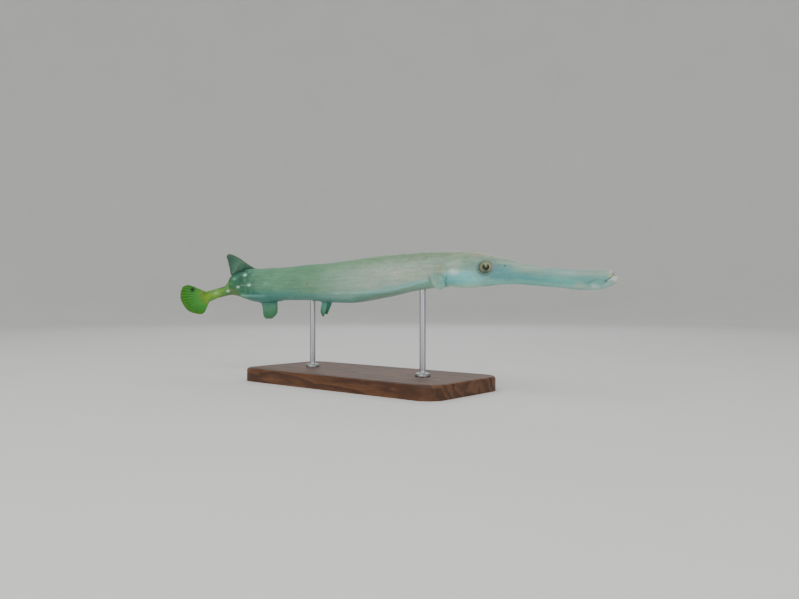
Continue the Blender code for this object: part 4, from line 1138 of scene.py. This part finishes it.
class Graph:
    """A short way to write a material's nodes. It holds the colour that has been painted so far."""

    def __init__(self, name):
        self.material = bpy.data.materials.new(name)
        self.material.use_nodes = True
        self.tree = self.material.node_tree
        self.shader = self.tree.nodes["Principled BSDF"]
        self.colour = None

    def put(self, socket, value):
        if isinstance(value, bpy.types.NodeSocket):
            self.tree.links.new(value, socket)
        elif isinstance(value, tuple) and socket.type == "RGBA":
            socket.default_value = (*value, 1.0)
        else:
            socket.default_value = value

    def node(self, kind, inputs, **settings):
        """A new node, with its inputs by number or name."""
        node = self.tree.nodes.new("ShaderNode" + kind)
        for name, value in settings.items():
            setattr(node, name, value)
        for key, value in inputs.items():
            self.put(node.inputs[key], value)
        return node

    def body(self):
        """Places on the object, in metres."""
        return self.node("TexCoord", {}).outputs["Object"]

    def read(self, name, output="Fac"):
        return self.node("Attribute", {}, attribute_name=name).outputs[output]

    def split(self, vector):
        return self.node("SeparateXYZ", {0: vector}).outputs

    def join(self, x, y, z=0.0):
        return self.node("CombineXYZ", {0: x, 1: y, 2: z}).outputs[0]

    def math(self, operation, *values):
        return self.node("Math", dict(enumerate(values)), operation=operation).outputs[0]

    def add(self, a, b):
        return self.math("ADD", a, b)

    def minus(self, a, b):
        return self.math("SUBTRACT", a, b)

    def times(self, first, *others):
        for other in others:
            first = self.math("MULTIPLY", first, other)
        return first

    def apart(self, a, b):
        return self.math("ABSOLUTE", self.minus(a, b))

    def stray(self, value, noise, reach):
        """The value, moved by the noise up to half the reach either way."""
        return self.add(value, self.math("MULTIPLY_ADD", noise, reach, -reach / 2))

    def vector(self, operation, a, b=(0.0, 0.0, 0.0)):
        node = self.node("VectorMath", {0: a, 1: b}, operation=operation)
        return node.outputs["Value" if operation in ("DISTANCE", "LENGTH") else "Vector"]

    def stretch(self, vector, share):
        """The vector with its way along the fish scaled."""
        return self.vector("MULTIPLY", vector, (share, 1.0, 1.0))

    def near(self, flat, centre, share=1.0):
        """Distance to a centre on the flat, with the way along it scaled."""
        return self.vector("DISTANCE", self.stretch(flat, share), (centre[0] * share, centre[1], 0.0))

    def oval(self, flat, centre, size):
        """0 at the centre of an oval on the flat, and 1 on its outline."""
        off = self.vector("SUBTRACT", flat, (*centre, 0.0))
        return self.vector("LENGTH", self.vector("DIVIDE", off, (*size, 1.0)))

    def soft(self, value, start, end, low=0.0, high=1.0, change="SMOOTHSTEP"):
        inputs = dict(enumerate((value, start, end, low, high)))
        return self.node("MapRange", inputs, interpolation_type=change).outputs[0]

    def window(self, value, rise, fall):
        """1 between two soft edges, each given by its outer and its inner end."""
        return self.times(self.soft(value, *rise), self.soft(value, *fall))

    def mix(self, share, a, b, blend="MIX"):
        return self.node("Mix", {0: share, 6: a, 7: b}, data_type="RGBA", blend_type=blend).outputs[2]

    def paint(self, tone, *masks):
        """Lays a tone over the colour so far: a screen colour, or a colour made by other nodes."""
        tone = seen(tone) if isinstance(tone, tuple) else tone
        self.colour = self.mix(self.times(*masks), self.colour, tone)

    def tint(self, factor, *masks):
        """Multiplies the colour so far."""
        self.colour = self.mix(self.times(*masks), self.colour, factor, "MULTIPLY")

    def shade(self, value, limits, dark, light, strength):
        """Multiplies the colour so far by a factor that goes from dark to light with the value."""
        self.tint(self.mix(self.soft(value, *limits), dark, light), strength)

    def ramp(self, value, stops, change="LINEAR"):
        """Colours along a value, from stops of a position and a screen colour."""
        node = self.node("ValToRGB", {0: value})
        node.color_ramp.interpolation = change
        elements = node.color_ramp.elements
        while len(elements) < len(stops):
            elements.new(0.5)
        for element, (position, colour) in zip(elements, stops):
            element.position = position
            element.color = (*seen(colour), 1.0)
        return node.outputs[0]

    def path_height(self, at, path):
        """Height of a path over the spine at a distance, as a chain of straight runs."""
        node = self.tree.nodes.new("ShaderNodeFloatCurve")
        low, high = min(p[1] for p in path), max(p[1] for p in path)
        start, end = path[0][0], path[-1][0]
        points = node.mapping.curves[0].points
        while len(points) < len(path):
            points.new(0.5, 0.5)
        for point, (here, height) in zip(points, path):
            point.location = ((here - start) / (end - start), (height - low) / (high - low))
        node.mapping.update()
        self.put(node.inputs["Value"], self.soft(at, start, end, 0, 1, "LINEAR"))
        return self.soft(node.outputs[0], 0, 1, low, high, "LINEAR")

    def noise(self, vector, scale, detail, rough=0.55, distortion=0.0):
        form = {"Scale": scale, "Detail": detail, "Roughness": rough, "Distortion": distortion}
        return self.node("TexNoise", {"Vector": vector, **form}).outputs[0]

    def cells(self, vector, scale):
        return self.node("TexVoronoi", {"Vector": vector, "Scale": scale}).outputs["Distance"]

    def bump(self, height, strength, distance, normal=None):
        node = self.node("Bump", {"Strength": strength, "Distance": distance, "Height": height})
        if normal:
            self.put(node.inputs["Normal"], normal)
        return node.outputs[0]

    def finish(self, roughness, normal=None, **plain):
        """Gives the shader its inputs, and returns the material."""
        self.put(self.shader.inputs["Base Color"], self.colour)
        self.put(self.shader.inputs["Roughness"], roughness)
        if normal:
            self.put(self.shader.inputs["Normal"], normal)
        for name, value in plain.items():
            self.put(self.shader.inputs[name.replace("_", " ")], value)
        return self.material


class SkinGraph(Graph):
    """The colours of the fish, by the place on it, the level from belly to back, and noises."""

    def __init__(self, name):
        super().__init__(name)
        self.fish = self.read("fish", "Vector")
        self.at, _, self.height = self.split(self.fish)
        self.level = self.read("level")
        self.flank = self.join(self.at, self.height)
        self.places = self.body()
        self.broad = self.noise(self.stretch(self.fish, 0.45), 70, 3)
        self.streak = self.noise(self.stretch(self.fish, 0.10), 420, 2, 0.5)
        self.blotch = self.noise(self.stretch(self.fish, 0.55), 230, 3, 0.6, 0.6)
        self.speck = self.noise(self.places, 1900, 2, 0.6)

    def ground(self):
        """Back, flank and belly, each with its colours along the fish, and wavering edges between them."""
        along = self.stray(self.math("DIVIDE", self.at, BANDS_LENGTH), self.broad, 0.018)
        bands = [self.ramp(along, [(p / BANDS_LENGTH, c) for p, c in rows]) for rows in (BACK, FLANK, BELLY)]
        back, self.colour, belly = bands
        waved = self.stray(self.stray(self.level, self.broad, 0.5), self.streak, 0.24)
        waved = self.stray(waved, self.blotch, 0.5)
        before_eye = self.times(self.soft(self.at, 0.082, 0.100), self.soft(self.at, 0.120, 0.108, 0, 0.34))
        edge = self.add(self.soft(self.at, 0.100, 0.150, -0.28, 0.20), before_eye)
        width = self.soft(self.at, 0.100, 0.150, 1.15, 0.80)
        self.paint(back, self.soft(waved, edge, self.add(edge, width)))
        belly_edge = self.soft(self.at, 0.340, 0.410, -0.35, -0.12)
        self.paint(belly, self.soft(waved, belly_edge, self.minus(belly_edge, 0.45)))

    def gill_cover(self):
        """Turquoise over the gill cover and the cheek, a pale lower edge that is partly painted light on its
        shaded underside, and a painted highlight.
        """
        off = self.stray(self.oval(self.flank, (0.1435, 0.0000), (0.0245, 0.0090)), self.broad, 0.3)
        self.paint((112, 194, 196), self.soft(off, 1.12, 0.60), 0.85)
        # Pale lower edge: partly the cover's own colour, partly painted light where its underside faces away
        # from the light.
        run = self.window(self.at, (0.118, 0.130), (0.163, 0.155))
        self.paint((188, 224, 200), run, self.soft(self.height, -0.0022, -0.0052), 0.75)
        # Painted highlight on the top of the cover.
        painted_highlight = self.near(self.flank, (0.1500, 0.0067), 0.45)
        self.paint((206, 228, 222), self.soft(painted_highlight, 0.0046, 0.0002, 0, 0.65))

    def shoulder(self):
        for centre, size, strength, tone in SHOULDER_MARKS:
            far = self.stray(self.oval(self.flank, centre, size), self.blotch, 0.8)
            self.paint(tone, self.soft(far, 1.1, 0.2, 0, strength))

    def clouds(self):
        """Pinkish and greenish clouds over the head and the nape."""
        cloud = self.noise(self.stretch(self.fish, 0.6), 150, 3, 0.6, 0.4)
        run = self.window(self.at, (0.085, 0.120), (0.290, 0.190))
        upper = self.times(self.soft(self.level, -0.25, 0.15), run)
        self.paint((174, 162, 144), upper, self.soft(cloud, 0.50, 0.72, 0, 0.5))
        self.paint((116, 152, 116), upper, self.soft(cloud, 0.50, 0.30, 0, 0.5))

    def stripe(self):
        """The pale stripe low on the side, over the paler lower flank and belly."""
        over = self.minus(self.height, self.path_height(self.at, STRIPE))
        run = self.window(self.at, (0.164, 0.178), (0.285, 0.240))
        under = self.times(self.soft(over, -0.0008, -0.0026), run)
        self.paint((128, 180, 162), under, 0.7)
        self.paint((178, 194, 172), under, self.soft(self.level, -0.80, -0.97, 0, 0.4))
        front = self.times(self.soft(self.at, 0.174, 0.182), self.soft(self.at, 0.300, 0.230, 0.3, 1.0))
        front = self.times(front, self.soft(self.at, 0.330, 0.290))
        rear = self.times(self.soft(self.at, 0.405, 0.435, 0, 0.6), self.soft(self.at, 0.470, 0.458))
        broken = self.soft(self.noise(self.stretch(self.fish, 0.25), 330, 2, 0.5), 0.36, 0.62, 0.55, 0.95)
        core = self.soft(self.math("ABSOLUTE", over), 0.0024, 0.0002)
        self.paint((148, 210, 204), core, self.math("MAXIMUM", front, rear), broken)

    def lateral_line(self):
        off = self.apart(self.height, self.path_height(self.at, LATERAL_LINE))
        dash = self.math("SINE", self.times(self.at, 2 * math.pi / SCALE_PITCH))
        line = self.times(self.soft(off, 0.0008, 0.0001), self.soft(self.at, 0.150, 0.165))
        self.line = self.times(line, self.soft(dash, -0.6, 0.6, 0.45, 1.0))
        self.paint((196, 200, 176), self.line, 0.12)

    def hip(self):
        """Mottled dark green hip and yellow-green stalk of the tail, with painted shade along the root of the
        dorsal fin and the marks under that fin.
        """
        mottle = self.noise(self.stretch(self.fish, 0.55), 360, 3, 0.65)
        run = self.window(self.at, (0.425, 0.455), (0.492, 0.480))
        hip = self.times(run, self.soft(self.level, -0.80, -0.40))
        self.paint((44, 94, 76), hip, self.soft(mottle, 0.52, 0.40, 0, 0.75))
        self.paint((104, 160, 140), hip, self.soft(mottle, 0.54, 0.68, 0, 0.6))
        # Painted shade on the back along the root of the dorsal fin.
        run = self.window(self.at, (0.454, 0.463), (0.487, 0.480))
        self.paint((24, 68, 54), run, self.soft(self.level, 0.74, 0.92), 0.85)
        run = self.times(self.soft(self.at, 0.462, 0.474), self.soft(self.at, 0.498, 0.484, 0, 0.5))
        self.paint((98, 116, 52), run, self.soft(self.level, -0.15, -0.55))
        stalk = self.soft(self.at, 0.488, 0.497)
        self.paint((146, 160, 36), stalk, self.soft(mottle, 0.52, 0.66, 0, 0.55))
        self.paint((78, 130, 44), stalk, self.soft(mottle, 0.50, 0.38, 0, 0.5))
        dark_line = self.soft(self.apart(self.at, 0.4815), 0.0026, 0.0004)
        self.paint((40, 92, 44), dark_line, self.soft(self.height, -0.0060, -0.0020), 0.45)
        strip = self.soft(self.apart(self.at, 0.4858), 0.0034, 0.0004)
        self.paint((124, 168, 88), strip, self.soft(self.height, -0.0070, -0.0025), 0.6)

    def spots(self):
        """White spots of the tail, and one brown smudge on the flank."""
        edge = self.noise(self.places, 700, 2)
        spots = 0.0
        for spot_at, spot_height, radius, strength in SPOTS:
            near = self.stray(self.near(self.flank, (spot_at, spot_height), SPOT_STRETCH), edge, 0.0010)
            here = self.soft(near, radius * 1.9, radius * 0.1, 0.0, strength)
            spots = self.math("MAXIMUM", here, spots)
        core = self.mix(self.soft(spots, 0.30, 0.95), seen((104, 168, 142)), seen((186, 232, 214)))
        core = self.mix(self.soft(self.at, 0.490, 0.500, 0, 0.7), core, seen((176, 206, 120)))
        self.paint(core, self.soft(spots, 0.06, 0.85, 0, 0.9))
        smudge = self.near(self.flank, (0.3401, -0.0014), 0.7)
        self.paint((112, 108, 92), self.soft(smudge, 0.0034, 0.0004, 0, 0.42))

    def mouth(self):
        """Pinkish tip of the upper jaw, the marks of the mouth, and the mottled patch behind its corner."""
        tip = self.vector("DISTANCE", self.fish, (0.0074, 0.0, 0.0062))
        self.paint((196, 176, 178), self.soft(tip, 0.0040, 0.0012, 0, 0.6))
        for centre, share, reach, strength, tone in MOUTH_MARKS:
            self.paint(tone, self.soft(self.near(self.flank, centre, share), *reach, 0, strength))
        near = self.stray(self.near(self.flank, (0.0310, -0.0068), 0.6), self.blotch, 0.004)
        patch = self.mix(self.soft(self.blotch, 0.42, 0.60), seen((158, 172, 152)), seen((180, 170, 154)))
        self.paint(patch, self.soft(near, 0.0050, 0.0008, 0, 0.55))

    def forms(self):
        """Pale lips, and painted shade in the creases, the nostrils and round the eye."""
        self.paint((210, 212, 204), self.read("lip"), 0.62)
        # Painted shade from the masks of the skin's shapes: creases, nostrils and round the eye.
        self.paint((44, 62, 58), self.read("dark"), 0.62)
        self.paint((78, 98, 84), self.read("nostril_shade"), 0.55)
        self.paint((92, 112, 98), self.read("socket"), 0.55)

    def unevenness(self):
        """Fine dark specks, most of them on the upper half, then broad, lengthwise and fine changes."""
        dots = self.soft(self.cells(self.places, 1300), 0.30, 0.12)
        there = self.times(self.soft(self.blotch, 0.42, 0.56), self.soft(self.level, -0.7, 0.0, 0.12, 0.5))
        self.paint((72, 96, 78), dots, there)
        self.shade(self.broad, (0.30, 0.72), (0.86, 0.90, 0.88), (1.10, 1.08, 1.06), 0.8)
        self.shade(self.streak, (0.34, 0.66), (0.86, 0.91, 0.90), (1.14, 1.07, 1.04), 0.8)
        self.shade(self.speck, (0.30, 0.75), (0.90, 0.91, 0.90), (1.08, 1.08, 1.08), 0.7)

    def surface(self):
        """Pores, the lateral line, wrinkles of the bare snout and cheek, and bony rays of the gill cover."""
        pores = self.cells(self.places, 1500)
        normal = self.bump(self.add(self.times(self.speck, 0.5), self.times(pores, 0.6)), 0.25, 0.0002)
        normal = self.bump(self.line, 0.5, 0.0002, normal)
        wrinkle = self.noise(self.stretch(self.fish, 0.12), 1100, 3, 0.6)
        normal = self.bump(self.times(wrinkle, self.soft(self.at, 0.168, 0.145)), 0.5, 0.0004, normal)
        fan = self.math("ARCTAN2", self.minus(self.height, 0.0085), self.minus(self.at, 0.1235))
        rays = self.noise(self.join(self.times(fan, 26.0), self.times(self.at, 30.0)), 1.0, 2, 0.5)
        return self.bump(self.times(rays, self.read("cover")), 0.35, 0.0006, normal)


def skin_look(name, scaled=False):
    """The fish's colours, for the skin and for the scales over it."""
    g = SkinGraph(name)
    g.ground()
    g.gill_cover()
    g.shoulder()
    g.clouds()
    g.stripe()
    g.lateral_line()
    g.hip()
    g.spots()
    g.mouth()
    g.forms()
    g.unevenness()
    if scaled:
        g.tint(g.mix(g.read("tone"), (0.95, 0.955, 0.95), (1.06, 1.055, 1.05)), 1.0)
    roughness = g.soft(g.broad, 0.25, 0.75, 0.40, 0.50)
    return g.finish(roughness, g.surface(), Specular_IOR_Level=0.28, Coat_Weight=0.06, Coat_Roughness=0.2)


def fin_look(fin, through=0.30, spotted=False, front_edge=None):
    """Membrane and rays, clearer between the rays, with light from behind."""
    root, middle, tip, ray_dark, rim = FIN_TONES[fin]
    g = Graph(fin + "_look")
    t, v, joints = g.split(g.read("blade", "Vector"))
    ray = g.read("ray")
    body = g.body()
    uneven, speck = g.noise(body, 260, 3, 0.6), g.noise(body, 1700, 2, 0.6)
    out = g.stray(v, uneven, 0.24)
    g.colour = g.ramp(out, ((0.0, root), (0.45, middle), (1.0, tip)))
    if rim:
        g.paint(rim, g.soft(out, 0.86, 1.02, 0, 0.5))
        g.paint(rim, g.soft(t, 0.06, 0.0, 0, 0.6))
    if front_edge:
        g.paint(rim, g.soft(out, 0.50, 0.95), g.soft(t, front_edge, front_edge - 0.12, 0, 0.5))
    g.tint(ray_dark, g.soft(ray, 0.15, 0.8))
    g.tint((0.72, 0.72, 0.70), g.soft(joints, 0.25, 0.0), g.soft(ray, 0.3, 0.9), 0.35)
    if spotted:
        centre, radius, dark = TAIL_SPOT
        far = g.stray(g.vector("DISTANCE", body, tuple(place(*centre, 0.0).tolist())), uneven, 0.0016)
        g.paint(dark, g.soft(far, radius * 1.25, radius * 0.25, 0, 0.95))
    g.shade(uneven, (0.3, 0.7), (0.82, 0.84, 0.80), (1.14, 1.12, 1.12), 0.8)
    g.shade(speck, (0.3, 0.75), (0.90, 0.90, 0.90), (1.08, 1.08, 1.08), 0.7)
    normal = g.bump(g.add(speck, g.times(uneven, 0.6)), 0.2, 0.0002)
    g.finish(0.45, normal, Specular_IOR_Level=0.28, Coat_Weight=0.05, Coat_Roughness=0.25)
    glow = g.node("BsdfTranslucent", {"Color": g.colour, "Normal": normal})
    both = g.node("MixShader", {0: through, 1: g.shader.outputs[0], 2: glow.outputs[0]})
    g.put(g.tree.nodes["Material Output"].inputs["Surface"], both.outputs[0])
    return g.material


def eye_look():
    """Dark pupil with a painted reflection over its top, and a tan and pink iris with olive bars over, under
    and behind it, wet on the surface.
    """
    g = Graph("eye_wet")
    x, y, _ = g.split(g.read("iris", "Vector"))
    flat = g.join(x, y)
    mottle, fine = g.noise(flat, 7, 4, 0.65), g.noise(flat, 34, 3, 0.6)
    away = g.stray(g.vector("LENGTH", g.vector("MULTIPLY", flat, (1.0, 0.86, 1.0))), mottle, 0.07)
    tones = ((0.28, (98, 104, 76)), (0.50, (140, 130, 104)), (0.70, (166, 142, 120)))
    g.colour = g.ramp(mottle, tones, "EASE")
    g.paint((140, 124, 120), g.soft(g.near(flat, (-0.72, -0.42)), 0.50, 0.10), 0.6)
    turn = g.math("ARCTAN2", y, x)
    round_pupil = g.join(g.times(g.math("COSINE", turn), 3.0), g.times(g.math("SINE", turn), 3.0), away)
    g.paint((96, 96, 70), g.soft(g.noise(round_pupil, 4.5, 3, 0.6), 0.50, 0.66, 0, 0.6))
    for centre, size, tone in EYE_BARS:
        g.paint(tone, g.soft(g.stray(g.oval(flat, centre, size), mottle, 0.8), 1.25, 0.35, 0, 0.92))
    g.paint((160, 144, 100), g.soft(g.apart(away, PUPIL_SIZE + 0.045), 0.05, 0.01), 0.16)
    g.paint((106, 120, 100), g.soft(away, 0.72, 1.08, 0, 0.85))
    g.paint((22, 36, 16), g.soft(away, PUPIL_SIZE + 0.03, PUPIL_SIZE - 0.03))
    # Painted reflection.
    g.paint((142, 164, 124), g.soft(g.oval(flat, PAINTED_EYE_GLINT, PAINTED_GLINT_SIZE), 1.5, 0.0, 0, 0.8))
    g.shade(fine, (0.3, 0.7), (0.80, 0.80, 0.80), (1.14, 1.14, 1.14), 0.8)
    normal = g.bump(g.add(fine, mottle), 0.08, 0.0002)
    return g.finish(0.35, normal, Specular_IOR_Level=0.15, Coat_Weight=0.4, Coat_Roughness=0.07)


def specked_look(name, low, high, dark, grain, dark_from, roughness):
    """Two tones by the piece's own shares, with small dark specks."""
    g = Graph(name)
    speck = g.noise(g.body(), grain, 3, 0.6)
    g.colour = g.mix(g.read("tone"), seen(low), seen(high))
    g.paint(dark, g.soft(speck, dark_from, 0.7, 0, 0.4))
    return g.finish(roughness, g.bump(speck, 0.2, 0.0002), Coat_Weight=0.2, Coat_Roughness=0.25)


def spine_look():
    return specked_look("spine_skin", (122, 152, 128), (150, 164, 140), (96, 122, 100), 1400, 0.3, 0.42)


def barbel_look():
    return specked_look("barbel_skin", (150, 176, 168), (178, 186, 172), (112, 140, 130), 2400, 0.35, 0.4)


def wood_look():
    """Dark walnut with long grain, pores and a satin lacquer."""
    g = Graph("walnut_base")
    body = g.body()
    warp = g.noise(g.vector("MULTIPLY", body, (2.2, 9.0, 9.0)), 5, 3)
    fibre = g.noise(g.vector("MULTIPLY", body, (10.0, 320.0, 320.0)), 4, 4, 0.65)
    pore = g.soft(g.noise(g.vector("MULTIPLY", body, (40.0, 900.0, 900.0)), 2.2, 2, 0.5), 0.60, 0.72)
    _, y, z = g.split(body)
    rings = g.add(g.add(g.times(y, 62), g.times(z, 48)), g.times(warp, 4.2))
    band = g.window(g.math("FRACT", rings), (0.0, 0.75), (1.0, 0.80))
    g.colour = g.mix(band, seen((116, 76, 48)), seen((74, 46, 30)))
    g.paint((60, 38, 26), g.soft(fibre, 0.25, 0.75, 0, 0.7))
    g.paint((34, 22, 16), pore, 0.7)
    normal = g.bump(g.minus(fibre, pore), 0.12, 0.0003)
    roughness = g.soft(fibre, 0.2, 0.8, 0.42, 0.54)
    return g.finish(roughness, normal, Specular_IOR_Level=0.25, Coat_Weight=0.05, Coat_Roughness=0.2)


def steel_look():
    """Steel brushed round the rod."""
    g = Graph("brushed_steel")
    brush = g.noise(g.vector("MULTIPLY", g.body(), (40.0, 40.0, 3600.0)), 1.4, 4, 0.7)
    g.colour = g.mix(g.soft(brush, 0.25, 0.75), seen((158, 160, 162)), seen((190, 192, 194)))
    return g.finish(g.soft(brush, 0.2, 0.8, 0.26, 0.38), g.bump(brush, 0.05, 0.0001), Metallic=1.0)


def make_stage():
    """A round pale floor that rises in a wide curve all round."""
    flat, bend, sides = 1.9, 1.1, 96
    turn = math.pi / 2 * np.arange(1, 17) / 16
    rise = zip(flat + bend * np.sin(turn), bend * (1 - np.cos(turn)))
    rings = [(0.02, 0.0), (0.8, 0.0), (flat, 0.0), *rise, (flat + bend, 2.4)]
    floor = mesh_from("floor", lathe(rings, sides), ring_faces(len(rings), sides)[:-1])
    g = Graph("floor_pale")
    g.colour = g.mix(g.noise(g.body(), 6, 3, 0.5), seen((218, 218, 217)), seen((225, 225, 224)))
    floor.materials.append(g.finish(0.75))
    made = add_to_scene("floor", floor)


def make_light():
    """A large soft key over the camera's shoulder, low fills from both sides, and an even pale surround."""
    for name, (spot, size, energy, colour) in LIGHTS.items():
        data = bpy.data.lights.new(name, "AREA")
        data.shape = "RECTANGLE"
        data.size, data.size_y = size
        data.energy = energy
        data.color = colour
        made = add_to_scene(name, data)
        made.location = spot
        made.rotation_mode = "QUATERNION"
        made.rotation_quaternion = (Vector(LIT_PLACE) - Vector(spot)).to_track_quat("-Z", "Y")
    world = bpy.data.worlds.new("studio")
    world.use_nodes = True
    sky = world.node_tree.nodes["Background"]
    sky.inputs["Color"].default_value = (0.87, 0.87, 0.86, 1)
    sky.inputs["Strength"].default_value = 0.66
    bpy.context.scene.world = world


def make_camera():
    data = bpy.data.cameras.new("camera")
    data.lens = CAMERA_LENS
    data.sensor_width = 36
    data.sensor_fit = "HORIZONTAL"
    data.clip_start, data.clip_end = 0.01, 30
    made = add_to_scene("camera", data)
    made.location = CAMERA_PLACE
    made.rotation_euler = (math.pi / 2, 0, CAMERA_TURN)
    bpy.context.scene.camera = made


def make_fins():
    """Each with its number of rays, its rows of faces, and its look."""
    dorsal, anal = fin_look("dorsal", through=0.2, front_edge=0.42), fin_look("anal")
    make_midline_fin("dorsal_fin", DORSAL_ROOT, 1, DORSAL_MARGIN, 25, 40, dorsal)
    make_midline_fin("anal_fin", ANAL_ROOT, -1, ANAL_MARGIN, 26, 34, anal)
    make_caudal_fin(fin_look("caudal", spotted=True))
    pectoral, pelvic = fin_look("pectoral"), fin_look("pelvic", through=0.6)
    for name, side in (("left", 1), ("right", -1)):
        make_pectoral_fin("pectoral_fin_" + name, side, pectoral)
        make_pelvic_fin("pelvic_fin_" + name, side, pelvic)


def main():
    make_camera()
    make_stage()
    make_light()
    make_skin(skin_look("fish_skin"))
    make_scales(skin_look("fish_scales", scaled=True))
    make_fins()
    wet = eye_look()
    make_eye("eye_left", 1, wet)
    make_eye("eye_right", -1, wet)
    make_back_spines(spine_look())
    make_barbel(barbel_look())
    steel = steel_look()
    for name, at in RODS.items():
        make_rod(name, at, steel)
    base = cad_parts["stand_base"]
    base.material_slots[0].material = wood_look()


main()
